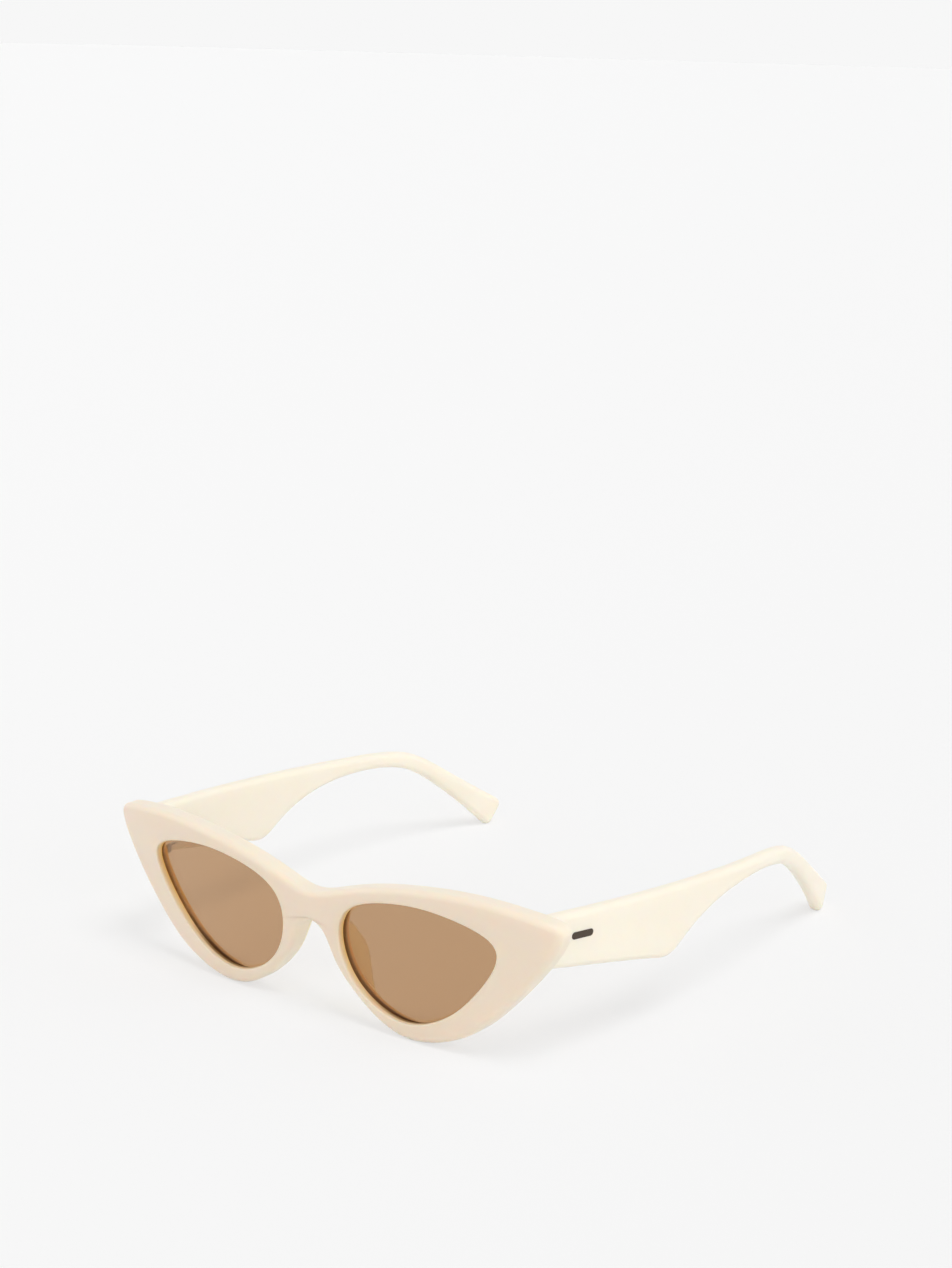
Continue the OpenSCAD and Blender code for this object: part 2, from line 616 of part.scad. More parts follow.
module front_leaf_screws() {
    at_front_screws() screw(leaf_screw_r, leaf_screw_l, leaf_head_r, leaf_head_h);
}
module left_front_leaf_screws() { color(dark_steel) standing() front_leaf_screws(); }
module right_front_leaf_screws() { color(dark_steel) standing() right_side() front_leaf_screws(); }

module hinge_screw() {
    translate([hinge_x, hinge_y, knuckle_foot(knuckle_count - 1) + knuckle_h])
        screw(pin_r, hinge_h - hinge_gap, pin_head_r, pin_head_h);
}
module left_hinge_screw() { color(dark_steel) standing() hinge_screw(); }
module right_hinge_screw() { color(dark_steel) standing() right_side() hinge_screw(); }

// The temple's leaf carries the two knuckles between the front's three.
module temple_leaf() {
    difference() {
        union() {
            temple_leaf_plate(0);
            for (k = [1, 3])
                knuckle_at(k) temple_arm();
        }
        pin_bore();
        at_temple_screws() screw_hole(leaf_screw_r + leaf_fit, temple_screw_l, leaf_head_r, leaf_head_h);
    }
}
module left_temple_leaf() { color(steel) standing() temple_leaf(); }
module right_temple_leaf() { color(steel) standing() right_side() temple_leaf(); }

module temple_leaf_screws() {
    at_temple_screws() screw(leaf_screw_r, temple_screw_l, leaf_head_r, leaf_head_h);
}
module left_temple_leaf_screws() { color(dark_steel) standing() temple_leaf_screws(); }
module right_temple_leaf_screws() { color(dark_steel) standing() right_side() temple_leaf_screws(); }

module temple_with_pocket() {
    difference() {
        capped_tube(temple_rings);
        temple_leaf_plate(leaf_fit);
        at_temple_screws() screw_hole(leaf_screw_r, temple_screw_l, leaf_head_r, leaf_head_h);
    }
}
module left_temple() {
    color(pale_ivory)
        standing()
            difference() {
                temple_with_pocket();
                on_temple_outside()
                    translate([bar_proud - bar_t - bar_fit, 0, 0])
                        pill(bar_l + 2 * bar_fit, bar_h + 2 * bar_fit, bar_t + 1);
            }
}
module right_temple() { color(pale_ivory) standing() right_side() temple_with_pocket(); }

module left_temple_bar() {
    color(dark_steel)
        standing()
            on_temple_outside()
                translate([bar_proud - bar_t, 0, 0])
                    pill(bar_l, bar_h, bar_t);
}

front_frame();
left_lens();
right_lens();
left_nose_pad();
right_nose_pad();
left_front_leaf();
right_front_leaf();
left_front_leaf_screws();
right_front_leaf_screws();
left_hinge_screw();
right_hinge_screw();
left_temple();
right_temple();
left_temple_leaf();
right_temple_leaf();
left_temple_leaf_screws();
right_temple_leaf_screws();
left_temple_bar();
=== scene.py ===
import json
import math

import bmesh
import bpy
import numpy as np
from mathutils import Matrix, Vector


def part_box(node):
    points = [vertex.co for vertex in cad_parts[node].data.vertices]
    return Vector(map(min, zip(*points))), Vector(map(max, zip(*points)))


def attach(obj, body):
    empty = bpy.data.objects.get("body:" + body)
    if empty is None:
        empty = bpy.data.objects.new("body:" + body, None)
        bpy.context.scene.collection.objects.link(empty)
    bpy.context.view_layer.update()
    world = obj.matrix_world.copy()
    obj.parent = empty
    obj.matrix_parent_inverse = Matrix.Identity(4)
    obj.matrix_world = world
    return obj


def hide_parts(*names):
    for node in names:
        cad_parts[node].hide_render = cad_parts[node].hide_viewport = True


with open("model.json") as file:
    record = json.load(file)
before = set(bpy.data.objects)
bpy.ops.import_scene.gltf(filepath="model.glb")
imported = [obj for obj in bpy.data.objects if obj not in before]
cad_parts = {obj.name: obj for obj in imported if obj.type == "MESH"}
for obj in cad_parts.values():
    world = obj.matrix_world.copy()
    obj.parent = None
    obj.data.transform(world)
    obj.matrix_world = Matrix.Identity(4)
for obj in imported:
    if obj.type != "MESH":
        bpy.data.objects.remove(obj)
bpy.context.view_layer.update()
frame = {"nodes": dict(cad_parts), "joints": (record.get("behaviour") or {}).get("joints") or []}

# ---------------------------------------------------------------------------
# Camera. A long lens looks down a little on the open sunglasses from their
# left front, so that both rims and the whole of both temples show.
# ---------------------------------------------------------------------------
CAMERA_PLACE = (0.37772, -0.51045, 0.24081)  # metres
CAMERA_TURN = 37.14  # degrees to the wearer's left of straight ahead
CAMERA_RISE = 13.80  # degrees above the level
CAMERA_ROLL = 1.39  # degrees
CAMERA_LENS = 68.78  # mm
CAMERA_FILM = 36  # mm along the picture's long side


def camera_axes(turn, rise, roll):
    """Right, up and back of a camera turned, raised and rolled by these degrees."""
    a, e, r = (math.radians(v) for v in (turn, rise, roll))
    back = Vector((math.sin(a) * math.cos(e), -math.cos(a) * math.cos(e), math.sin(e)))
    level = Vector((math.cos(a), math.sin(a), 0))
    upright = back.cross(level)
    right = math.cos(r) * level + math.sin(r) * upright
    return right, back.cross(right), back


camera_data = bpy.data.cameras.new("camera")
camera_data.lens = CAMERA_LENS
camera_data.sensor_width = CAMERA_FILM
camera = bpy.data.objects.new("camera", camera_data)
bpy.context.collection.objects.link(camera)
right, up, back = camera_axes(CAMERA_TURN, CAMERA_RISE, CAMERA_ROLL)
camera_turned = Matrix((right, up, back)).transposed().to_4x4()
camera.matrix_world = Matrix.Translation(CAMERA_PLACE) @ camera_turned
bpy.context.scene.camera = camera
bpy.context.scene.view_settings.view_transform = "Standard"

# ---------------------------------------------------------------------------
# Table and light. A matt white table runs on past everything in view, inside a
# light tent whose sides are brighter than its top. One broad lamp stands nearly
# overhead on the wearer's left, and two weak soft ones fill in low on both sides.
# ---------------------------------------------------------------------------
TABLE_WHITE = "#F6F6F6"
TABLE_REACH = 30.0  # metres from the middle to each side
BACKDROP = "#F7F7F7"  # the tent as the eye sees it, and the tone that the table runs into
SHADOW_SHARE = 0.40  # how much of its own shading the table shows to the eye
TENT_SIDES = 1.20  # the light that comes from the tent's sides, and from its top
TENT_TOP = 0.25
LAMPS = (  # name, level, degrees across, and where it stands
    ("broad_lamp", 1.08, 30, (0.42, -0.14, 1.0)),
    ("side_lamp", 0.30, 60, (0.92, 0.1, 0.35)),
    ("fill_lamp", 0.30, 60, (-0.90, -0.4, 0.25)),
)


def tone(code):
    """A colour written as #RRGGBB, as Blender's own linear red, green, blue and alpha."""
    parts = [int(code[i : i + 2], 16) / 255 for i in (1, 3, 5)]
    linear = [v / 12.92 if v <= 0.04045 else ((v + 0.055) / 1.055) ** 2.4 for v in parts]
    return (*linear, 1.0)


def add(tree, kind, inputs=None, **settings):
    """Adds one node. Each input is given a value, or linked where the value is a socket."""
    node = tree.nodes.new(kind)
    for name, value in settings.items():
        setattr(node, name, value)
    for name, value in (inputs or {}).items():
        if isinstance(value, bpy.types.NodeSocket):
            tree.links.new(value, node.inputs[name])
        else:
            node.inputs[name].default_value = value
    return node


def new_material(name):
    """An empty material, with the tree that its nodes go into."""
    material = bpy.data.materials.new(name)
    material.use_nodes = True
    material.node_tree.nodes.clear()
    return material, material.node_tree


def looked_at(tree):
    """1 for what is seen straight, mirrored or through a lens, and 0 for what only gives light."""
    path = add(tree, "ShaderNodeLightPath")
    seen = path.outputs["Is Camera Ray"]
    for ray in ("Is Glossy Ray", "Is Transmission Ray"):
        either = {0: seen, 1: path.outputs[ray]}
        seen = add(tree, "ShaderNodeMath", either, operation="MAXIMUM").outputs[0]
    return seen


table_white, tree = new_material("matt_white_table")
# Matt white paint with no shine at all. The eye sees it part lit and part in the backdrop's
# own tone, so that it runs into the backdrop without a line and its shadows stay faint.
table_paint = add(tree, "ShaderNodeBsdfDiffuse", {"Color": tone(TABLE_WHITE), "Roughness": 1.0})
table_seen = add(tree, "ShaderNodeEmission", {"Color": tone(BACKDROP), "Strength": 1.0})
seen_share = add(
    tree, "ShaderNodeMath", {0: looked_at(tree), 1: 1 - SHADOW_SHARE}, operation="MULTIPLY"
)
table_mix = add(
    tree,
    "ShaderNodeMixShader",
    {0: seen_share.outputs[0], 1: table_paint.outputs[0], 2: table_seen.outputs[0]},
)
add(tree, "ShaderNodeOutputMaterial", {"Surface": table_mix.outputs[0]})

table_mesh = bpy.data.meshes.new("table")
corners = [(TABLE_REACH * x, TABLE_REACH * y, 0) for x, y in ((-1, -1), (1, -1), (1, 1), (-1, 1))]
table_mesh.from_pydata(corners, [], [(0, 1, 2, 3)])
table = bpy.data.objects.new("table", table_mesh)
bpy.context.collection.objects.link(table)
table_mesh.materials.append(table_white)

world = bpy.data.worlds.new("light_tent")
world.use_nodes = True
bpy.context.scene.world = world
tree = world.node_tree
tree.nodes.clear()
# White cloth lit from outside: even all round, and dimmer the higher it reaches.
direction = add(tree, "ShaderNodeTexCoord")
heading = add(tree, "ShaderNodeSeparateXYZ", {0: direction.outputs["Generated"]})
bright = add(
    tree,
    "ShaderNodeMapRange",
    {"Value": heading.outputs["Z"], "To Min": TENT_SIDES, "To Max": TENT_TOP},
)
lit = add(tree, "ShaderNodeBackground", {"Color": (1, 1, 1, 1), "Strength": bright.outputs[0]})
seen = add(tree, "ShaderNodeBackground", {"Color": tone(BACKDROP), "Strength": 1.0})
tent = add(tree, "ShaderNodeMixShader", {0: looked_at(tree), 1: lit.outputs[0], 2: seen.outputs[0]})
add(tree, "ShaderNodeOutputWorld", {"Surface": tent.outputs[0]})

for name, level, across, stands in LAMPS:
    lamp_data = bpy.data.lights.new(name, "SUN")
    lamp_data.energy = level
    lamp_data.angle = math.radians(across)
    lamp = bpy.data.objects.new(name, lamp_data)
    bpy.context.collection.objects.link(lamp)
    lamp.rotation_euler = Vector(stands).to_track_quat("Z", "Y").to_euler()

# ---------------------------------------------------------------------------
# Front. One piece of ivory plastic, swept back at the tips and leaning forward,
# moulded and then tumbled smooth, with a groove round each opening for its lens.
# ---------------------------------------------------------------------------
MM = 0.001  # the sizes of the pieces are in millimetres
FRONT_W = 145.0
FRONT_H = 42.2
FRONT_T = 5.6
FRONT_EDGE_R = 0.9  # round the back, and under the bridge
TUMBLED_R = 1.7  # round the face, where tumbling takes the most
UNDER_BRIDGE_W = 3.0  # from the middle to where the edge under the bridge starts to round off
UNDER_BRIDGE_FADE = 10.0  # from there to its full rounding
OPENING_EDGE_R = 0.45
FRONT_LEAN = math.radians(5.8)
FRONT_WRAP = 7.2  # how far back the tips lie
WRAP_ARC_SHARE = 0.415  # how much of that is an even curve; the rest comes near the tips
LENS_W = 47.0
LENS_H = 32.2
LENS_GAP = 18.6
RIM_FOOT_H = 4.5
OPENING_MID = 0.48  # level, as a share of an opening's height, that angles round it are taken from
LENS_T = 2.0
LENS_DEPTH = 2.1  # from the face to the lens
GROOVE_DEPTH = 0.9
GROOVE_SLOPE = 0.5
GROOVE_SPARE = 0.1
FINE_STEPS = 12  # points between two control points, where a curve is measured
RADIUS_STEPS = 60  # and where its radius is looked up

# Half of the outline, from the bridge over the brow and the tip and back under the rim, as
# shares of half the width and of the height: the control points of one smooth curve.
OUTLINE = np.array([
    [0.041, 0.783], [0.139, 0.852], [0.318, 0.942], [0.558, 0.999], [0.753, 1.006],
    [0.969, 0.949], [1.007, 0.905], [0.995, 0.793], [0.916, 0.583], [0.748, 0.248],
    [0.620, 0.076], [0.409, -0.039], [0.248, 0.079], [0.083, 0.358], [0.058, 0.603],
])
# A lens opening in the same way, as shares of its own width and height.
OPENING = np.array([
    [1.012, 0.677], [1.009, 0.899], [0.655, 1.011], [0.387, 0.998], [0.065, 0.884],
    [-0.031, 0.611], [0.058, 0.177], [0.390, -0.068], [0.663, 0.103], [0.825, 0.314],
])


def spline(points, u):
    """Places and directions at u along a uniform cubic B-spline, where 1 is its second point."""
    points = np.asarray(points, float)
    k = np.minimum(np.floor(u).astype(int), len(points) - 3)
    t = (u - k)[:, None]
    near = [points[k + i] for i in (-1, 0, 1, 2)]
    shares = ((1 - t) ** 3, 3 * t**3 - 6 * t**2 + 4, -3 * t**3 + 3 * t**2 + 3 * t + 1, t**3)
    slopes = (-((1 - t) ** 2), 3 * t**2 - 4 * t, -3 * t**2 + 2 * t + 1, t**2)
    place = sum(share * point for share, point in zip(shares, near)) / 6
    slope = sum(share * point for share, point in zip(slopes, near)) / 2
    return place, slope


def unit(v):
    """Directions of length 1."""
    return v / np.linalg.norm(v, axis=-1, keepdims=True)


def along(points, start, steps):
    """Even steps along a curve, with so many between two control points."""
    return start + np.arange(points * steps) / steps


# Both halves meet smoothly, because each end of the list goes on past the middle plane, which
# the curve crosses half-way between its second and third points.
MIDDLE_U = 1.5
outline_end = MIDDLE_U + len(OUTLINE)
other_side = np.array([-1, 1])
outline_loop = np.vstack([OUTLINE[1::-1] * other_side, OUTLINE, OUTLINE[:-3:-1] * other_side])
fine = spline(outline_loop, np.append(along(len(OUTLINE), MIDDLE_U, FINE_STEPS), outline_end))[0]
stretch = [FRONT_W / 2 / fine[:, 0].max(), FRONT_H / np.ptp(fine[:, 1])]
outline_loop = (outline_loop - [0, fine[:, 1].min()]) * stretch
opening_loop = np.vstack([OPENING[-1:], OPENING, OPENING[:3]])
fine = spline(opening_loop, along(len(OPENING), 1, FINE_STEPS))[0]
opening_loop = (opening_loop - fine.min(0)) / np.ptp(fine, axis=0) * [LENS_W, LENS_H]
opening_loop += [LENS_GAP / 2, RIM_FOOT_H]
opening_mid = np.array([LENS_GAP / 2 + LENS_W / 2, RIM_FOOT_H + LENS_H * OPENING_MID])

front_shift = 0.0  # set below, once the edge is known


def face_y(x, z):
    """How far back the face of the front lies at x and height z."""
    s = np.abs(x) / (FRONT_W / 2)
    wrap = FRONT_WRAP * (WRAP_ARC_SHARE * s**2 + (1 - WRAP_ARC_SHARE) * s**4)
    return wrap - math.tan(FRONT_LEAN) * z + front_shift


def back_y(x, z):
    """How far back the back of the front lies there."""
    return face_y(x, z) + FRONT_T


# Columns round one half: along the outline, then up the middle of the bridge.
OUTLINE_STEPS = 14
SEAM_STEPS = 6
outline_u = np.append(along(len(OUTLINE), MIDDLE_U, OUTLINE_STEPS), outline_end)
edge, edge_slope = spline(outline_loop, outline_u)
edge[[0, -1], 0] = 0
inward = unit(np.c_[edge_slope[:, 1], -edge_slope[:, 0]])
inward[[0, -1], 0] = 0
inward = unit(inward)
past = np.abs(edge[:, 0]) - UNDER_BRIDGE_W
under_bridge = np.clip(inward[:, 1], 0, 1) * np.clip(1 - past / UNDER_BRIDGE_FADE, 0, 1)
tumbled = TUMBLED_R - (TUMBLED_R - FRONT_EDGE_R) * under_bridge
seam = np.linspace(*(edge + tumbled[:, None] * inward)[[-1, 0]], SEAM_STEPS + 2)[1:-1]
edge = np.vstack([edge, seam])
inward = np.vstack([inward, np.zeros_like(seam)])
tumbled = np.append(tumbled, np.full(len(seam), TUMBLED_R))[:, None]
column_count = len(edge)
column_angle = np.arctan2(*(edge - opening_mid).T[::-1])

samples = spline(opening_loop, along(len(OPENING), 1, RADIUS_STEPS))[0] - opening_mid
sample_angle = np.arctan2(samples[:, 1], samples[:, 0])
order = np.argsort(sample_angle)
sample_angle, sample_radius = sample_angle[order], np.linalg.norm(samples, axis=1)[order]


def opening_radius(angle):
    """From the middle of a lens opening to its edge, at an angle from the wearer's left."""
    return np.interp(angle, sample_angle, sample_radius, period=2 * math.pi)


def opening_at(angle, outwards):
    """Points of the lens opening at these angles, moved out into the rim."""
    r = opening_radius(angle)
    step = 0.01
    turn = (opening_radius(angle + step) - opening_radius(angle - step)) / (2 * step)
    radial = np.c_[np.cos(angle), np.sin(angle)]
    sideways = np.c_[-np.sin(angle), np.cos(angle)]
    outward = unit(r[:, None] * radial - turn[:, None] * sideways)
    return opening_mid + r[:, None] * radial + outwards * outward


opening_edge = opening_at(column_angle, 0)
# The front-most point of the face lies where that of the front's solid does.
front_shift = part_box("front_frame")[0][1] / MM - face_y(*(edge + FRONT_EDGE_R * inward).T).min()

# Rows of the rim's section: from the opening's front edge, over its wall and the groove,
# across the back, round the outer edge and back over the face.
ROUND_STEPS = 7
WALL_SHARES = (0.5, 0.75, 1)
FLAT_SHARES = (0.2, 0.4, 0.6, 0.8)
groove_front = LENS_DEPTH - GROOVE_SPARE
groove_back = LENS_DEPTH + LENS_T + GROOVE_SPARE
turns = np.radians(np.linspace(0, 90, ROUND_STEPS))
# A quarter round from a flat to a side, in shares of its radius: how far across, how deep.
rounded = [(1 - math.sin(a), 1 - math.cos(a)) for a in turns]
r = OPENING_EDGE_R
rows = [("opening", r * across, r * deep) for across, deep in rounded]
rows += [("opening", 0, groove_front * share) for share in WALL_SHARES]
rows += [
    ("opening", GROOVE_DEPTH, groove_front + GROOVE_SLOPE),
    ("opening", GROOVE_DEPTH, groove_back - GROOVE_SLOPE),
    ("opening", 0, groove_back),
]
rows += [("opening", r * across, FRONT_T - r * deep) for across, deep in rounded[::-1]]
rows += [("between", share, FRONT_T) for share in FLAT_SHARES]
first_outer = len(rows)
r = FRONT_EDGE_R
rows += [("outer", r * across, FRONT_T - r * deep) for across, deep in rounded]
rows += [("tumbled", across, deep) for across, deep in rounded[::-1]]
last_outer = len(rows) - 1
rows += [("between", share, 0) for share in FLAT_SHARES[::-1]]


def rim_row(kind, amount, depth):
    """One row of points right round a half of the front."""
    if kind == "opening":
        place = opening_at(column_angle, amount)
        surface = opening_edge if 0 < depth < FRONT_T else place
    elif kind == "outer":
        place = surface = edge + amount * inward
    elif kind == "tumbled":
        place = surface = edge + tumbled * amount * inward
        depth = tumbled[:, 0] * depth
    else:
        inner = opening_at(column_angle, OPENING_EDGE_R)
        rounding = FRONT_EDGE_R if depth else tumbled
        place = surface = inner + amount * (edge + rounding * inward - inner)
    return np.c_[place[:, 0], face_y(*surface.T) + depth, place[:, 1]]


def mesh_object(name, verts, faces):
    """A smooth-shaded mesh object from points in millimetres, its faces turned outwards."""
    mesh = bpy.data.meshes.new(name)
    mesh.from_pydata((np.asarray(verts) * MM).tolist(), [], faces)
    shape = bmesh.new()
    shape.from_mesh(mesh)
    bmesh.ops.remove_doubles(shape, verts=shape.verts, dist=1e-6)
    bmesh.ops.recalc_face_normals(shape, faces=shape.faces)
    for face in shape.faces:
        face.smooth = True
    shape.to_mesh(mesh)
    shape.free()
    piece = bpy.data.objects.new(name, mesh)
    bpy.context.collection.objects.link(piece)
    return piece


def mirrored(name, piece):
    """A copy on the other side of the middle plane, still facing outwards."""
    mesh = piece.data.copy()
    mesh.name = name
    mesh.transform(Matrix.Scale(-1, 4, (1, 0, 0)))
    mesh.flip_normals()
    copy = bpy.data.objects.new(name, mesh)
    bpy.context.collection.objects.link(copy)
    return copy


half = np.vstack([rim_row(*row) for row in rows])
faces = []
for i in range(len(rows)):
    this_row, next_row = i * column_count, (i + 1) % len(rows) * column_count
    for j in range(column_count):
        middle_strip = j >= len(outline_u) - 1 and first_outer <= i < last_outer
        if not middle_strip:
            j2 = (j + 1) % column_count
            faces.append([this_row + j, next_row + j, next_row + j2, this_row + j2])
count = len(half)
front = mesh_object(
    "front",
    np.vstack([half, half * [-1, 1, 1]]),
    faces + [[v + count for v in face[::-1]] for face in faces],
)


# Painted light and shade round each opening. Where the plastic turns in to an opening, amber is
# painted beside the brown lens as painted light, for the light that comes in through the lens: more
# and more towards it but less along the bottom, and on the wall behind the lens too. The groove is
# painted dark as painted shade, since the lens's edge lets no light out, and so is its seat along
# the bottom, where one looks down past the lens into it. The face is told from the edges, which are
# a paler ivory, and is painted warmer and darker as painted shade.
EDGE_GLOW = 0.08  # at the opening's front edge, where it is 1 beside the lens
GLOW_RISE = 1.3
LESS_BELOW = 0.5
BACK_GLOW = 0.8
GROOVE_DARK = 0.68
LIP_DARK = 0.3  # at the groove's lip along the top, where it is 1 along the bottom
SEAT_FROM = 0.7  # how far in along the wall the dark seat starts
SEAT_DARK = 0.9
NEAR = 0.05  # the play in telling a point by its depth
place = np.array([v.co[:] for v in front.data.vertices]) / MM
side = np.where(place[:, 0] < 0, -1, 1)
radial = np.c_[place[:, 0] * side, place[:, 2]] - opening_mid
reach = np.linalg.norm(radial, axis=1)
inset = reach - opening_radius(np.arctan2(radial[:, 1], radial[:, 0]))
depth = place[:, 1] - face_y(place[:, 0], place[:, 2])
downward = np.clip(-radial[:, 1] / reach, 0, 1)
beside = inset < OPENING_EDGE_R + NEAR
wall = beside & (depth < groove_front + NEAR)
behind = beside & (depth > groove_back + NEAR) & (depth < FRONT_T - OPENING_EDGE_R / 2)
within = (depth > groove_front + NEAR) & (depth < groove_back + NEAR)
seat = wall & (depth > groove_front * SEAT_FROM)
# Painted light: amber that rises from the opening's front edge towards the lens, and lies on the
# wall behind it.
rise = (np.clip(depth, 0, None) / groove_front) ** GLOW_RISE
painted_glow = np.where(wall, EDGE_GLOW + (1 - EDGE_GLOW) * rise, 0)
painted_glow[behind] = BACK_GLOW
painted_glow *= 1 - LESS_BELOW * downward
# Painted shade: the groove, its lip and its seat along the bottom are painted dark.
groove = np.where(within & beside, LIP_DARK + (1 - LIP_DARK) * downward, 0)
groove[within & ~beside & (inset < GROOVE_DEPTH + NEAR)] = GROOVE_DARK
groove[seat] = np.clip(downward[seat] * 2 - 1, 0, SEAT_DARK)
# Painted shade: 1 on the face, which is painted warmer and darker than the edges.
painted_face_shade = np.clip(1 - depth / TUMBLED_R, 0, 1)
for name, values in (("face", painted_face_shade), ("painted_glow", np.clip(painted_glow, 0, 1)), ("groove", groove)):
    attribute = front.data.attributes.new(name, "FLOAT", "POINT")
    attribute.data.foreach_set("value", values.astype(np.float32))

# The hinge leaves lie flush in pockets in the back of the front, turned to follow it.
LEAF_T = 0.9
LEAF_H = 7.3
LEAF_FIT = 0.04
POCKET_SPARE = 2.0  # how far the cutter of a pocket stands out of the plastic
FRONT_LEAF_L = 7.2
FRONT_LEAF_OUT = 1.75  # from the hinge pin to the middle of the leaf
hinge = next(j for j in frame["joints"] if j["name"] == "left_temple_hinge")["pos_m"]
hinge_x, hinge_y, hinge_z = (v / MM for v in hinge)
front_leaf_x = hinge_x + FRONT_LEAF_OUT
slope_there = (back_y(front_leaf_x + 1, hinge_z) - back_y(front_leaf_x - 1, hinge_z)) / 2
front_leaf_spot = (
    Matrix.Translation((front_leaf_x, back_y(front_leaf_x, hinge_z), hinge_z))
    @ Matrix.Rotation(math.atan(slope_there), 4, "Z")
    @ Matrix.Rotation(FRONT_LEAN, 4, "X")
)


def cut_box(piece, spot, low, high):
    """Cuts a box, given by two of its corners at a spot, out of a piece, with crisp edges."""
    mesh = bpy.data.meshes.new("cutter")
    shape = bmesh.new()
    bmesh.ops.create_cube(shape, size=1)
    size = Vector(high) - Vector(low)
    middle = (Vector(high) + Vector(low)) / 2
    box = Matrix.Translation(middle) @ Matrix.Diagonal((*size, 1))
    shape.transform(Matrix.Scale(MM, 4) @ spot @ box)
    bmesh.ops.recalc_face_normals(shape, faces=shape.faces)
    shape.to_mesh(mesh)
    shape.free()
    cutter = bpy.data.objects.new("cutter", mesh)
    bpy.context.collection.objects.link(cutter)
    modifier = piece.modifiers.new("pocket", "BOOLEAN")
    modifier.object = cutter
    modifier.solver = "EXACT"
    make_plain(piece)
    bpy.data.objects.remove(cutter)


CRISP_FROM = math.radians(38)


def make_plain(piece):
    """Turns a piece's modifiers into its mesh, with smooth faces that stay crisp at sharp edges."""
    bpy.context.view_layer.update()
    evaluated = piece.evaluated_get(bpy.context.evaluated_depsgraph_get())
    mesh = bpy.data.meshes.new_from_object(evaluated)
    piece.modifiers.clear()
    piece.data = mesh
    mesh.shade_smooth()
    mesh.set_sharp_from_angle(angle=CRISP_FROM)


flipped = Matrix.Diagonal((-1, 1, 1, 1))
for spot in (front_leaf_spot, flipped @ front_leaf_spot):
    cut_box(
        front,
        spot,
        (-FRONT_LEAF_L / 2 - LEAF_FIT, -LEAF_T, -LEAF_H / 2 - LEAF_FIT),
        (FRONT_LEAF_L / 2 + LEAF_FIT, POCKET_SPARE, LEAF_H / 2 + LEAF_FIT),
    )

CLOUD = 0.016  # metres across one of the soft clouds in the plastic
PEEL = 0.0011  # metres between the faint waves that tumbling leaves
PEEL_DEPTH = 0.00003
FRONT_MILK = 0.5  # how milky the plastic is, and how deep in metres light goes into it
FRONT_MILK_DEPTH = 0.003
# Painted glow: the plastic beside the lenses gives off this much amber light, though it is no lamp.
PAINTED_GLOW_EMISSION = 0.2  # the light that the plastic leads out beside the lens
IVORY_EDGE = "#FBEEDC"
IVORY_CLOUD = "#F8EAD6"
# Painted shade: the face's warmer, darker ivory.
IVORY_FACE_SHADE = "#F6E5D1"
# Painted light: the amber painted beside the lenses.
PAINTED_GLOW_AMBER = "#FFD08A"
# The colour of that painted glow.
PAINTED_GLOW_COLOUR = "#FFC440"
# Painted shade: the brown painted into the groove and its seat.
GROOVE_SHADE_BROWN = "#50290E"


def ivory_plastic(name, body, cloud, milk, milk_depth, tints=(), glow_emission=0.0):
    """Tumbled ivory plastic: milky, a little see-through at thin edges, with a soft low gloss.

    Each tint is an attribute of the mesh and the colour that the plastic takes where it is 1; on
    the front these tints are painted light and shade. With a glow strength above 0, the plastic
    also gives off amber light by that much where its glow attribute is 1: a painted glow, though it
    is no lamp.
    """
    material, tree = new_material(name)
    place = add(tree, "ShaderNodeTexCoord")
    clouds = add(
        tree,
        "ShaderNodeTexNoise",
        {
            "Vector": place.outputs["Object"],
            "Scale": 1 / CLOUD,
            "Detail": 2.0,
            "Roughness": 0.5,
        },
    )
    shares = [(clouds.outputs[0], cloud)]
    for attribute, tint in tints:
        share = add(tree, "ShaderNodeAttribute", attribute_name=attribute)
        shares.append((share.outputs["Fac"], tint))
    colour = tone(body)
    for share, tint in shares:
        mix = add(tree, "ShaderNodeMix", {0: share, 6: colour, 7: tone(tint)}, data_type="RGBA")
        colour = mix.outputs[2]
    peel = add(
        tree,
        "ShaderNodeTexNoise",
        {"Vector": place.outputs["Object"], "Scale": 1 / PEEL, "Detail": 1.0},
    )
    rough = add(
        tree,
        "ShaderNodeMapRange",
        {
            "Value": clouds.outputs[0],
            "From Min": 0.3,
            "From Max": 0.7,
            "To Min": 0.30,
            "To Max": 0.38,
        },
    )
    bump = add(
        tree,
        "ShaderNodeBump",
        {"Height": peel.outputs[0], "Strength": 0.12, "Distance": PEEL_DEPTH},
    )
    shader = add(
        tree,
        "ShaderNodeBsdfPrincipled",
        {
            "Base Color": colour,
            "Roughness": rough.outputs[0],
            "IOR": 1.49,
            "Normal": bump.outputs[0],
            "Subsurface Weight": milk,
            "Subsurface Radius": (1.0, 0.62, 0.36),
            "Subsurface Scale": milk_depth,
        },
    )
    # A painted glow: amber light given off where the glow attribute is high.
    if glow_emission:
        share = add(tree, "ShaderNodeAttribute", attribute_name="painted_glow")
        glow_emission_strength = add(
            tree, "ShaderNodeMath", {0: share.outputs["Fac"], 1: glow_emission}, operation="MULTIPLY"
        )
        shader.inputs["Emission Color"].default_value = tone(PAINTED_GLOW_COLOUR)
        tree.links.new(glow_emission_strength.outputs[0], shader.inputs["Emission Strength"])
    add(tree, "ShaderNodeOutputMaterial", {"Surface": shader.outputs[0]})
    return material


# The face is painted a shade warmer and darker than the edges: painted shade, with the paler edges
# standing in for the daylight that fills them.
front_ivory = ivory_plastic(
    "tumbled_ivory_front",
    IVORY_EDGE,
    IVORY_CLOUD,
    FRONT_MILK,
    FRONT_MILK_DEPTH,
    (("face", IVORY_FACE_SHADE), ("painted_glow", PAINTED_GLOW_AMBER), ("groove", GROOVE_SHADE_BROWN)),
    PAINTED_GLOW_EMISSION,
)
front.data.materials.clear()
front.data.materials.append(front_ivory)
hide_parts("front_frame")
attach(front, "front")

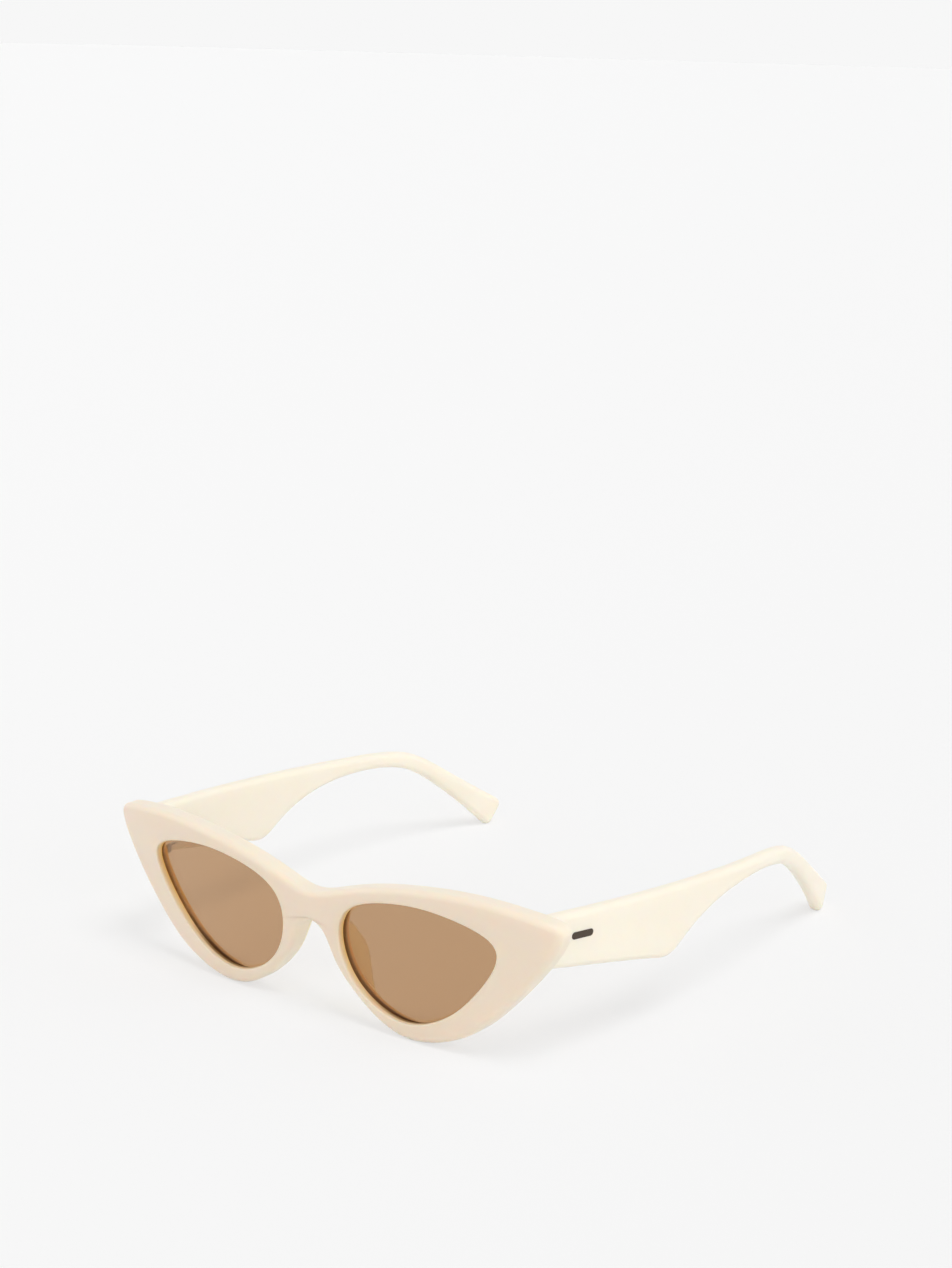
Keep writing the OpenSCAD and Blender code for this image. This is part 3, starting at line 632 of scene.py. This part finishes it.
# ---------------------------------------------------------------------------
# Lenses. Brown tinted polycarbonate, cut from a curved blank with a bevelled
# edge, and snapped into the groove of the warmed front.
# ---------------------------------------------------------------------------
LENS_FIT = 0.06
BEVEL_FIT = 1.4 * LENS_FIT  # front to back, so that the bevel clears the groove's slopes
LENS_RINGS = (0.12, 0.3, 0.5, 0.7, 0.85, 0.95, 1.0)  # from the lens's middle to its edge
LENS_COLUMNS = 240
LENS_BROWN = "#BE976F"

lens_angle = np.linspace(-math.pi, math.pi, LENS_COLUMNS, endpoint=False)
lens_edge = opening_at(lens_angle, 0)


def lens_ring(share, outwards, depth):
    """A ring of the lens at a share of its reach, with its edge moved out, at this depth."""
    place = opening_mid + share * (opening_at(lens_angle, outwards) - opening_mid)
    surface = place if share < 1 else lens_edge
    return np.c_[place[:, 0], face_y(*surface.T) + depth, place[:, 1]]


bevel = GROOVE_SLOPE + LENS_FIT
rings = [lens_ring(share, -LENS_FIT, groove_front + BEVEL_FIT) for share in LENS_RINGS]
rings += [lens_ring(1, GROOVE_DEPTH - LENS_FIT, groove_front + bevel)]
rings += [lens_ring(1, GROOVE_DEPTH - LENS_FIT, groove_back - bevel)]
rings += [lens_ring(share, -LENS_FIT, groove_back - BEVEL_FIT) for share in LENS_RINGS[::-1]]


def closed_tube(rings):
    """Points and faces of a solid through rings of points, each end closed on a middle point."""
    n, last = len(rings[0]), (len(rings) - 1) * len(rings[0])
    points = np.vstack(rings + [rings[0].mean(0, keepdims=True), rings[-1].mean(0, keepdims=True)])
    faces = []
    for i in range(len(rings) - 1):
        for j in range(n):
            j2 = (j + 1) % n
            faces.append([i * n + j, (i + 1) * n + j, (i + 1) * n + j2, i * n + j2])
    ends = len(points) - 2
    faces += [[ends, j, (j + 1) % n] for j in range(n)]
    faces += [[ends + 1, last + (j + 1) % n, last + j] for j in range(n)]
    return points, faces


left_lens = mesh_object("left_lens_dressed", *closed_tube(rings))
left_lens.data.set_sharp_from_angle(angle=CRISP_FROM)
right_lens = mirrored("right_lens_dressed", left_lens)

brown_polycarbonate, tree = new_material("brown_tinted_polycarbonate")
# Clear moulded plastic with a hard polished skin: it tints what lies behind it and mirrors a
# little of the tent. Light shines through it, so that its shadow is tinted and not black, with
# half of the tint for each of its two faces.
lens_shader = add(
    tree,
    "ShaderNodeBsdfPrincipled",
    {"Base Color": tone(LENS_BROWN), "Roughness": 0.03, "IOR": 1.5, "Transmission Weight": 1.0},
)
tinted = add(tree, "ShaderNodeBsdfTransparent", {"Color": [v**0.5 for v in tone(LENS_BROWN)]})
rays = add(tree, "ShaderNodeLightPath")
lens_mix = add(
    tree,
    "ShaderNodeMixShader",
    {0: rays.outputs["Is Shadow Ray"], 1: lens_shader.outputs[0], 2: tinted.outputs[0]},
)
add(tree, "ShaderNodeOutputMaterial", {"Surface": lens_mix.outputs[0]})
for lens, node in ((left_lens, "left_lens"), (right_lens, "right_lens")):
    lens.data.materials.clear()
    lens.data.materials.append(brown_polycarbonate)
    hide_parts(node)
    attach(lens, "front")

# ---------------------------------------------------------------------------
# Nose pads. Two slanted fins of a clearer ivory plastic, fullest near their upper
# end and splayed to meet the sides of the nose, bonded to the back of the rims.
# ---------------------------------------------------------------------------
PAD_HIGH = 17.0  # degrees round the lens above and below the level of its middle
PAD_LOW = 44.0
PAD_DEPTH = 5.0
PAD_BASE_W = 2.3
PAD_SPLAY = math.radians(36)
PAD_EDGE_T = 1.7
PAD_EDGE_SHARE = 0.3  # the most that the edge's rounding takes of a pad's height
PAD_LEAN_SHARE = 0.92
PAD_HOLLOW = (1.12, 1.5)  # how hollow its nose side and its lens side are, where 1 is straight
PAD_SET_IN = 0.45
PAD_REACH = 5.0
PAD_FULLEST = 0.32  # the share of its length at which a pad stands out furthest
PAD_END_BULK = 0.07
PAD_RINGS = 40
PAD_SIDE_STEPS = 8
PAD_EDGE_STEPS = 12
PAD_CRISP_FROM = math.radians(50)
NOSE_STARTS = 0.6  # how far round the half outline the nose side starts


def pad_section(share):
    """One section of a pad: inset from its nose side, and height over the back of the front."""
    bulk = PAD_END_BULK + (1 - 2 * PAD_END_BULK) * share ** (math.log(0.5) / math.log(PAD_FULLEST))
    p = PAD_DEPTH * math.sin(math.pi * bulk) ** 2
    r = min(PAD_EDGE_T / 2, p * PAD_EDGE_SHARE)
    lean = math.tan(PAD_SPLAY)
    tip = np.array([lean * (p - r) * PAD_LEAN_SHARE + r, p - r])
    rise = np.linspace(0, 1, PAD_SIDE_STEPS)[:-1, None]
    turn = np.linspace(0, math.pi, PAD_EDGE_STEPS)
    foot_in, foot_out = np.zeros(2), np.array([PAD_BASE_W, 0.0])
    nose_side, lens_side = (
        foot + (tip + [out, 0] - foot) * np.hstack([rise**hollow, rise])
        for foot, out, hollow in zip((foot_in, foot_out), (-r, r), PAD_HOLLOW)
    )
    round_over = [tip + r * np.array([-math.cos(a), math.sin(a)]) for a in turn]
    return np.vstack([nose_side, round_over, lens_side[::-1]])


nose_side = np.arange(column_count - 1, round(column_count * NOSE_STARTS) - 1, -1)
nose_angle = column_angle[nose_side] % (2 * math.pi)
nose_reach = np.linalg.norm(edge[nose_side] - opening_mid, axis=1)
pad_rings = []
for share in np.linspace(0, 1, PAD_RINGS):
    angle = math.pi + math.radians(-PAD_HIGH + (PAD_LOW + PAD_HIGH) * share)
    section = pad_section(share)
    rim_w = np.interp(angle, nose_angle, nose_reach) - opening_radius(angle)
    line = min(rim_w, PAD_REACH) - PAD_SET_IN
    foot = opening_at(np.full(len(section), angle), line - section[:, :1])
    pad_rings.append(np.c_[foot[:, 0], back_y(*foot.T) + section[:, 1], foot[:, 1]])
left_pad = mesh_object("left_pad_dressed", *closed_tube(pad_rings))
left_pad.data.set_sharp_from_angle(angle=PAD_CRISP_FROM)
right_pad = mirrored("right_pad_dressed", left_pad)
IVORY_PAD = "#FCEFC8"
PAD_CLOUD = "#FAECC3"
PAD_AMBER = "#FFFBEB"  # what a thin layer of the plastic does to white light
PAD_THROUGH = 0.8  # how much of a pad's light comes through it
PAD_MILK = 1.0
PAD_MILK_DEPTH = 0.006
pad_ivory = ivory_plastic("bonded_ivory_pad", IVORY_PAD, PAD_CLOUD, PAD_MILK, PAD_MILK_DEPTH)
# The fins are thin and let daylight through, so they are bright and a little amber all through.
tree = pad_ivory.node_tree
milky = tree.nodes["Principled BSDF"].outputs[0]
through = add(tree, "ShaderNodeBsdfTranslucent", {"Color": tone(PAD_AMBER)})
thin = add(tree, "ShaderNodeMixShader", {0: PAD_THROUGH, 1: milky, 2: through.outputs[0]})
passed = add(tree, "ShaderNodeBsdfTransparent", {"Color": tone(PAD_AMBER)})
rays = add(tree, "ShaderNodeLightPath")
fin = add(
    tree,
    "ShaderNodeMixShader",
    {0: rays.outputs["Is Shadow Ray"], 1: thin.outputs[0], 2: passed.outputs[0]},
)
tree.links.new(fin.outputs[0], tree.nodes["Material Output"].inputs["Surface"])
for pad, node in ((left_pad, "left_nose_pad"), (right_pad, "right_nose_pad")):
    pad.data.materials.clear()
    pad.data.materials.append(pad_ivory)
    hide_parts(node)
    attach(pad, "front")

# ---------------------------------------------------------------------------
# Temples. A broad flat blade that drops to a corner, thins out over the ear and
# flares again at its tip. It bows out round the head, and its end is mitred
# against the back of the front. The same plastic, moulded in one.
# ---------------------------------------------------------------------------
TEMPLE_LEN = 147.9
TEMPLE_T = 4.0
TEMPLE_RISE = 9.0  # from the hinge's middle to the temple's top edge
TEMPLE_FALL = math.radians(4.65)
BLADE_H = 13.4
CORNER_H = 18.6
CORNER_BULGE = 1.0
EAR_DROP = 13.2
EAR_BEND = 34.0  # degrees
TIP_EASE = 2.5  # degrees by which the tip's top edge falls less steeply than that
STEM_H = 4.5
TIP_H = 9.4
TEMPLE_SPREAD = 139.0  # between the middles of both temples, where they bow out most
TIP_SPREAD = 116.6
TEMPLE_EDGE_R = 1.7
EDGE_FLAT = 0.2  # the least that stays flat between an edge and the middle
TEMPLE_GAP = 0.15  # between the temple's end and the back of the front
TEMPLE_OUT = 3.8  # from the hinge pin to the middle of the temple's thickness
BOW_SHARE = 0.44  # how far along the temple it bows out most
TIP_CORNER_R = 2.4
TIP_EDGE_R = 1.5
TIP = 16  # the station at the tip's end
MITRE_U = 1.02  # along the stations: the mitred end, the next ring, and the rings' spacing
RINGS_FROM = 1.2
RING_STEP = 0.12
TIP_STEPS = 10

temple_x = hinge_x + TEMPLE_OUT
temple_start = back_y(temple_x, hinge_z)
bow_y = temple_start + BOW_SHARE * TEMPLE_LEN


def temple_mid_x(y):
    """Where the middle of the temple's thickness runs, seen from above."""
    ahead = y < bow_y
    to_hinge = (bow_y - y) / (bow_y - temple_start)
    to_tip = (y - bow_y) / (temple_start + TEMPLE_LEN - bow_y)
    end = np.where(ahead, temple_x, TIP_SPREAD / 2)
    bow = (end - TEMPLE_SPREAD / 2) * np.where(ahead, to_hinge, to_tip) ** 2
    return TEMPLE_SPREAD / 2 + bow


def temple_heading(y):
    """How far sideways the temple runs there for each millimetre back."""
    return temple_mid_x(y + 0.5) - temple_mid_x(y - 0.5)


def bent(t, y, z):
    """Points of the temple, t across its thickness."""
    heading = temple_heading(y)
    size = np.sqrt(1 + heading**2)
    return np.c_[temple_mid_x(y) + t / size, y - t * heading / size, z]


def between(a, b, t):
    """The value a share t of the way from a to b."""
    return a + (b - a) * t


# Each station: its share of the length, the section's height, and its shares of the drop
# and of the bend behind the ear.
STATIONS = np.array([
    [-0.1, between(BLADE_H, CORNER_H, -0.3), 0, 0],
    [0, BLADE_H, 0, 0],
    [0.108, between(BLADE_H, CORNER_H, 0.3), 0, 0],
    [0.21, between(BLADE_H, CORNER_H, 0.64), 0, 0],
    [0.277, between(BLADE_H, CORNER_H, 0.9), 0, 0],
    [0.321, CORNER_H + CORNER_BULGE, 0, 0],
    [0.365, between(CORNER_H, STEM_H, 0.29), 0, 0],
    [0.426, between(CORNER_H, STEM_H, 0.62), 0, 0],
    [0.507, between(CORNER_H, STEM_H, 0.88), 0, 0],
    [0.602, STEM_H, 0, 0],
    [0.669, STEM_H, 0, 0.18],
    [0.73, between(STEM_H, TIP_H, 0.07), 0.04, 0.47],
    [0.784, between(STEM_H, TIP_H, 0.11), 0.22, 0.82],
    [0.847, between(STEM_H, TIP_H, 0.19), 0.62, 0.94],
    [0.908, between(STEM_H, TIP_H, 0.39), 1, 1.06],
    [0.955, between(STEM_H, TIP_H, 0.68), 1, 1],
    [1, TIP_H, 1, 1],
    [1.045, between(STEM_H, TIP_H, 1.3), 1, 1],
])
station_y = temple_start + STATIONS[:, 0] * TEMPLE_LEN


def rails(tip_z):
    """The temple's top and lower edges seen from the side, with the tip's end at this height."""
    fall = math.tan(TEMPLE_FALL) * (station_y - temple_start)
    top_z = hinge_z + TEMPLE_RISE - fall - STATIONS[:, 2] * EAR_DROP
    tip_line = tip_z + math.tan(math.radians(EAR_BEND - TIP_EASE)) * (station_y[TIP] - station_y)
    top = np.c_[station_y, np.where(np.arange(len(station_y)) < TIP - 1, top_z, tip_line)]
    lean = np.radians(STATIONS[:, 3] * EAR_BEND)
    return top, top - STATIONS[:, 1:2] * np.c_[np.sin(lean), np.cos(lean)]


EDGE_STEPS = 6
SIDE_STEPS = 8


def temple_section(h, t, r):
    """A round-cornered section: points across the thickness and up the height."""
    points = []
    turn = np.radians(np.linspace(0, 90, EDGE_STEPS))
    flat_t, flat_h = t / 2 - r, h / 2 - r
    for sx, sz in ((1, 1), (1, -1), (-1, -1), (-1, 1)):
        corner = [
            (sx * (flat_t + r * math.cos(a)), sz * (flat_h + r * math.sin(a)))
            for a in (turn[::-1] if sx == sz else turn)
        ]
        points += corner
        if sx == sz:
            rise = np.linspace(sx * flat_h, -sx * flat_h, SIDE_STEPS)[1:-1]
            points += [(sx * t / 2, z) for z in rise]
    return np.array(points)


def temple_ring(both_rails, u, trim_h=0.0, trim_t=0.0):
    """The ring of points round the temple at station u, trimmed on each side by these."""
    top, foot = (spline(rail, np.array([u]))[0][0] for rail in both_rails)
    upright = unit(top - foot)
    h = np.linalg.norm(top - foot) - 2 * trim_h
    t = TEMPLE_T - 2 * trim_t
    across_t, up_h = temple_section(h, t, min(TEMPLE_EDGE_R, t / 2 - EDGE_FLAT)).T
    middle = (top + foot) / 2
    return bent(across_t, middle[0] + up_h * upright[0], middle[1] + up_h * upright[1])


tip_unit = (station_y[TIP] - station_y[TIP - 1]) / math.cos(math.radians(EAR_BEND))


def tip_rings(both_rails):
    """The last rings, drawn in round the tip's corners."""
    turns = np.radians(np.linspace(0, 90, TIP_STEPS))
    return [
        temple_ring(
            both_rails,
            TIP - TIP_CORNER_R * (1 - math.sin(a)) / tip_unit,
            TIP_CORNER_R * (1 - math.cos(a)),
            TIP_EDGE_R * (1 - math.cos(a)),
        )
        for a in turns
    ]


# The tip is lowered or raised until it just stands on the table.
tip_low = min(ring[:, 2].min() for ring in tip_rings(rails(0.0)))
both = rails(-tip_low)
mitred = temple_ring(both, MITRE_U)
mitred[:, 1] = back_y(mitred[:, 0], mitred[:, 2]) + TEMPLE_GAP
ring_u = np.arange(RINGS_FROM, TIP - 0.5, RING_STEP)
temple_rings = [mitred] + [temple_ring(both, u) for u in ring_u] + tip_rings(both)
left_temple = mesh_object("left_temple_dressed", *closed_tube(temple_rings))
right_temple = mirrored("right_temple_dressed", left_temple)
make_plain(left_temple)
make_plain(right_temple)

# The leaf lies flush in the inner face of the temple, behind the hinge pin.
TEMPLE_LEAF_L = 9.0
TEMPLE_LEAF_START = 1.9
leaf_y = hinge_y + TEMPLE_LEAF_START + TEMPLE_LEAF_L / 2
leaf_place = bent(np.array([-TEMPLE_T / 2]), np.array([leaf_y]), np.array([hinge_z]))[0]
leaf_turn = -math.atan(float(temple_heading(leaf_y)))
temple_leaf_spot = Matrix.Translation(leaf_place) @ Matrix.Rotation(leaf_turn, 4, "Z")
for temple, spot in ((left_temple, temple_leaf_spot), (right_temple, flipped @ temple_leaf_spot)):
    cut_box(
        temple,
        spot,
        (-POCKET_SPARE, -TEMPLE_LEAF_L / 2 - LEAF_FIT, -LEAF_H / 2 - LEAF_FIT),
        (LEAF_T, TEMPLE_LEAF_L / 2 + LEAF_FIT, LEAF_H / 2 + LEAF_FIT),
    )

# The temples are the palest ivory of the three, partly as painted light: they are made paler for
# the light that falls on their sides. They have the same clouds and low gloss.
IVORY_TEMPLE = "#FFF6E6"
TEMPLE_CLOUD = "#FCF1DE"
TEMPLE_MILK = 0.35
TEMPLE_MILK_DEPTH = 0.0025
temple_ivory = ivory_plastic(
    "tumbled_ivory_temple", IVORY_TEMPLE, TEMPLE_CLOUD, TEMPLE_MILK, TEMPLE_MILK_DEPTH
)
for temple, node, arm in (
    (left_temple, "left_temple", "left_temple_arm"),
    (right_temple, "right_temple", "right_temple_arm"),
):
    temple.data.materials.clear()
    temple.data.materials.append(temple_ivory)
    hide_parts(node)
    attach(temple, arm)

# ---------------------------------------------------------------------------
# Hinge leaves. Five-barrel hinges stamped and milled from nickel silver, with
# the fine scratches of barrelling left on them. Their solids show as they are.
# ---------------------------------------------------------------------------
NICKEL = "#BDB9B0"
SCRATCH = 0.00035  # metres between scratches, coarser than real ones so that they show
SCRATCH_DEPTH = 0.00002
LEAF_DRAWN = 8.0  # how much narrower the scratches are than they are long

nickel_silver, tree = new_material("barrelled_nickel_silver")
# A pale, slightly warm metal with a satin shine, drawn out along the leaf by fine scratches.
place = add(tree, "ShaderNodeTexCoord")
drawn = add(
    tree,
    "ShaderNodeMapping",
    {"Vector": place.outputs["Object"], "Scale": (1.0, 1.0, LEAF_DRAWN)},
)
scratches = add(
    tree,
    "ShaderNodeTexNoise",
    {"Vector": drawn.outputs[0], "Scale": 1 / SCRATCH / LEAF_DRAWN, "Detail": 3.0},
)
metal_rough = add(
    tree,
    "ShaderNodeMapRange",
    {"Value": scratches.outputs[0], "To Min": 0.22, "To Max": 0.42},
)
metal_bump = add(
    tree,
    "ShaderNodeBump",
    {"Height": scratches.outputs[0], "Strength": 0.2, "Distance": SCRATCH_DEPTH},
)
metal_shader = add(
    tree,
    "ShaderNodeBsdfPrincipled",
    {
        "Base Color": tone(NICKEL),
        "Metallic": 1.0,
        "Roughness": metal_rough.outputs[0],
        "Normal": metal_bump.outputs[0],
    },
)
add(tree, "ShaderNodeOutputMaterial", {"Surface": metal_shader.outputs[0]})
for node in ("left_front_leaf", "right_front_leaf", "left_temple_leaf", "right_temple_leaf"):
    leaf = frame["nodes"][node]
    for material_slot in leaf.material_slots:
        material_slot.material = nickel_silver

# ---------------------------------------------------------------------------
# Screws. Turned steel with a slotted head: two small ones hold each leaf, and
# one long one is the pin of each hinge. One shape, repeated at every place.
# ---------------------------------------------------------------------------
STEEL = "#8E8B86"
LEAF_SCREW = {"Head radius": 1.2, "Head height": 0.45, "Shank radius": 0.6}
PIN_SCREW = {"Head radius": 1.15, "Head height": 0.6, "Shank radius": 0.7, "Length": 6.95}
FRONT_SCREW = {**LEAF_SCREW, "Length": 2.6}
TEMPLE_SCREW = {**LEAF_SCREW, "Length": 2.4}
PIN_TOP = 3.45  # from the middle of the hinge to the top of the pin's head
FRONT_SCREW_X = 0.29 * FRONT_LEAF_L
FRONT_SCREW_Z = 0.275 * LEAF_H  # one above and one below the middle of the leaf
TEMPLE_SCREW_Y = (-0.09 * TEMPLE_LEAF_L, 0.31 * TEMPLE_LEAF_L)

turned_steel, tree = new_material("turned_steel")
# Small machine-turned steel: darker than the leaves, with faint marks left by the tool.
place = add(tree, "ShaderNodeTexCoord")
rings_left = add(
    tree,
    "ShaderNodeTexNoise",
    {"Vector": place.outputs["Object"], "Scale": 1 / SCRATCH, "Detail": 2.0},
)
steel_rough = add(
    tree,
    "ShaderNodeMapRange",
    {"Value": rings_left.outputs[0], "To Min": 0.2, "To Max": 0.4},
)
steel_shader = add(
    tree,
    "ShaderNodeBsdfPrincipled",
    {"Base Color": tone(STEEL), "Metallic": 1.0, "Roughness": steel_rough.outputs[0]},
)
add(tree, "ShaderNodeOutputMaterial", {"Surface": steel_shader.outputs[0]})

screw_tree = bpy.data.node_groups.new("slotted_screw", "GeometryNodeTree")
screw_tree.interface.new_socket("Geometry", in_out="INPUT", socket_type="NodeSocketGeometry")
for size in PIN_SCREW:
    screw_tree.interface.new_socket(size, in_out="INPUT", socket_type="NodeSocketFloat")
screw_tree.interface.new_socket("Finish", in_out="INPUT", socket_type="NodeSocketMaterial")
screw_tree.interface.new_socket("Geometry", in_out="OUTPUT", socket_type="NodeSocketGeometry")
given = add(screw_tree, "NodeGroupInput")

# The head is a disc whose upper edge is broken by a low cone, with its top at the origin, and
# the shank runs down from inside it. Each size is worked out from two others.
sizes = {size: given.outputs[size] for size in PIN_SCREW}
for size, how, first, second in (
    ("Rim height", "MULTIPLY", "Head height", 0.3),
    ("Rim radius", "MULTIPLY", "Head radius", 0.82),
    ("Rim foot", "MULTIPLY", "Rim height", -1.0),
    ("Disc height", "MULTIPLY", "Head height", 0.7),
    ("Disc middle", "MULTIPLY", "Head height", -0.65),
    ("Shank top", "MULTIPLY", "Head height", 0.5),
    ("Shank length", "SUBTRACT", "Length", "Shank top"),
    ("Half shank", "MULTIPLY", "Shank length", 0.5),
    ("Shank middle", "SUBTRACT", "Half shank", "Length"),
    ("Slot length", "MULTIPLY", "Head radius", 3.0),
    ("Slot width", "MULTIPLY", "Head radius", 0.32),
):
    values = {0: sizes[first], 1: sizes.get(second, second)}
    sizes[size] = add(screw_tree, "ShaderNodeMath", values, operation=how).outputs[0]
disc = add(
    screw_tree,
    "GeometryNodeMeshCylinder",
    {"Vertices": 40, "Radius": sizes["Head radius"], "Depth": sizes["Disc height"]},
)
rim = add(
    screw_tree,
    "GeometryNodeMeshCone",
    {
        "Vertices": 40,
        "Radius Top": sizes["Rim radius"],
        "Radius Bottom": sizes["Head radius"],
        "Depth": sizes["Rim height"],
    },
)
shank = add(
    screw_tree,
    "GeometryNodeMeshCylinder",
    {"Vertices": 32, "Radius": sizes["Shank radius"], "Depth": sizes["Shank length"]},
)
# Known fault: faces get lost in this union or in the cut below. The hinge pins come out with
# half a head and no shank, and the leaf screws with gaps, most of all in the front leaves.
body = add(screw_tree, "GeometryNodeMeshBoolean", operation="UNION")
for part, height in ((disc, "Disc middle"), (rim, "Rim foot"), (shank, "Shank middle")):
    down = add(screw_tree, "ShaderNodeCombineXYZ", {"Z": sizes[height]})
    moved = add(
        screw_tree,
        "GeometryNodeTransform",
        {"Geometry": part.outputs[0], "Translation": down.outputs[0]},
    )
    screw_tree.links.new(moved.outputs[0], body.inputs["Mesh 2"])
slot_size = add(
    screw_tree,
    "ShaderNodeCombineXYZ",
    {"X": sizes["Slot length"], "Y": sizes["Slot width"], "Z": sizes["Head height"]},
)
slot_box = add(screw_tree, "GeometryNodeMeshCube", {"Size": slot_size.outputs[0]})
slotted = add(
    screw_tree,
    "GeometryNodeMeshBoolean",
    {"Mesh 1": body.outputs[0], "Mesh 2": slot_box.outputs[0]},
    operation="DIFFERENCE",
)
facing = add(
    screw_tree,
    "GeometryNodeInputNamedAttribute",
    {"Name": "facing"},
    data_type="FLOAT_VECTOR",
)
turned = add(
    screw_tree, "FunctionNodeAlignRotationToVector", {"Vector": facing.outputs[0]}, axis="Z"
)
placed = add(
    screw_tree,
    "GeometryNodeInstanceOnPoints",
    {
        "Points": given.outputs["Geometry"],
        "Instance": slotted.outputs[0],
        "Rotation": turned.outputs[0],
    },
)
real = add(screw_tree, "GeometryNodeRealizeInstances", {"Geometry": placed.outputs[0]})
finished = add(
    screw_tree,
    "GeometryNodeSetMaterial",
    {"Geometry": real.outputs[0], "Material": given.outputs["Finish"]},
)
add(screw_tree, "NodeGroupOutput", {"Geometry": finished.outputs[0]})


def screws(name, places, sizes, body_name, nodes):
    """Screws of these sizes, with their heads' tops at these pairs of a place and a facing."""
    mesh = bpy.data.meshes.new(name)
    mesh.from_pydata([tuple(Vector(at) * MM) for at, _ in places], [], [])
    facing = mesh.attributes.new("facing", "FLOAT_VECTOR", "POINT")
    facing.data.foreach_set("vector", [v for _, to in places for v in to])
    piece = bpy.data.objects.new(name, mesh)
    bpy.context.collection.objects.link(piece)
    modifier = piece.modifiers.new("screws", "NODES")
    modifier.node_group = screw_tree
    inputs = {size: value * MM for size, value in sizes.items()} | {"Finish": turned_steel}
    for item in screw_tree.interface.items_tree:
        if item.in_out == "INPUT" and item.name in inputs:
            modifier[item.identifier] = inputs[item.name]
    make_plain(piece)
    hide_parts(*nodes)
    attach(piece, body_name)
    return piece


def facing_from(spot, at, to):
    """A place and a facing that are given at a leaf's spot."""
    return spot @ Vector(at), spot.to_3x3() @ Vector(to)


def other_sides(places):
    """The same places on the wearer's right."""
    return [(flipped @ at, flipped.to_3x3() @ to) for at, to in places]


front_places = [
    facing_from(front_leaf_spot, (FRONT_SCREW_X, 0, z), (0, 1, 0))
    for z in (-FRONT_SCREW_Z, FRONT_SCREW_Z)
]
temple_places = [facing_from(temple_leaf_spot, (0, y, 0), (-1, 0, 0)) for y in TEMPLE_SCREW_Y]
pin_places = [(Vector((hinge_x, hinge_y, hinge_z + PIN_TOP)), Vector((0, 0, 1)))]
screws(
    "front_leaf_screws",
    front_places + other_sides(front_places),
    FRONT_SCREW,
    "front",
    ("left_front_leaf_screws", "right_front_leaf_screws"),
)
screws(
    "left_leaf_screws",
    temple_places,
    TEMPLE_SCREW,
    "left_temple_arm",
    ("left_temple_leaf_screws",),
)
screws(
    "right_leaf_screws",
    other_sides(temple_places),
    TEMPLE_SCREW,
    "right_temple_arm",
    ("right_temple_leaf_screws",),
)
screws(
    "hinge_pins",
    pin_places + other_sides(pin_places),
    PIN_SCREW,
    "front",
    ("left_hinge_screw", "right_hinge_screw"),
)

# ---------------------------------------------------------------------------
# Metal bar. A plain rounded strip of dark plated brass, pressed into the outer
# face of the left temple just behind the front.
# ---------------------------------------------------------------------------
PLATED = "#5B5047"
BRUSHED = 6.0  # how much narrower the brushing's lines are than they are long
BRUSH_LINE = 4 * SCRATCH
plated_bar, tree = new_material("dark_plated_brass")
# Satin dark plating: a soft broad shine over fine lengthwise brushing.
place = add(tree, "ShaderNodeTexCoord")
brushed = add(
    tree,
    "ShaderNodeMapping",
    {"Vector": place.outputs["Object"], "Scale": (BRUSHED, 1.0, BRUSHED)},
)
brushing = add(
    tree,
    "ShaderNodeTexNoise",
    {"Vector": brushed.outputs[0], "Scale": 1 / BRUSH_LINE, "Detail": 3.0},
)
bar_rough = add(
    tree,
    "ShaderNodeMapRange",
    {"Value": brushing.outputs[0], "To Min": 0.3, "To Max": 0.5},
)
bar_shader = add(
    tree,
    "ShaderNodeBsdfPrincipled",
    {"Base Color": tone(PLATED), "Metallic": 1.0, "Roughness": bar_rough.outputs[0]},
)
add(tree, "ShaderNodeOutputMaterial", {"Surface": bar_shader.outputs[0]})
for material_slot in frame["nodes"]["left_temple_bar"].material_slots:
    material_slot.material = plated_bar
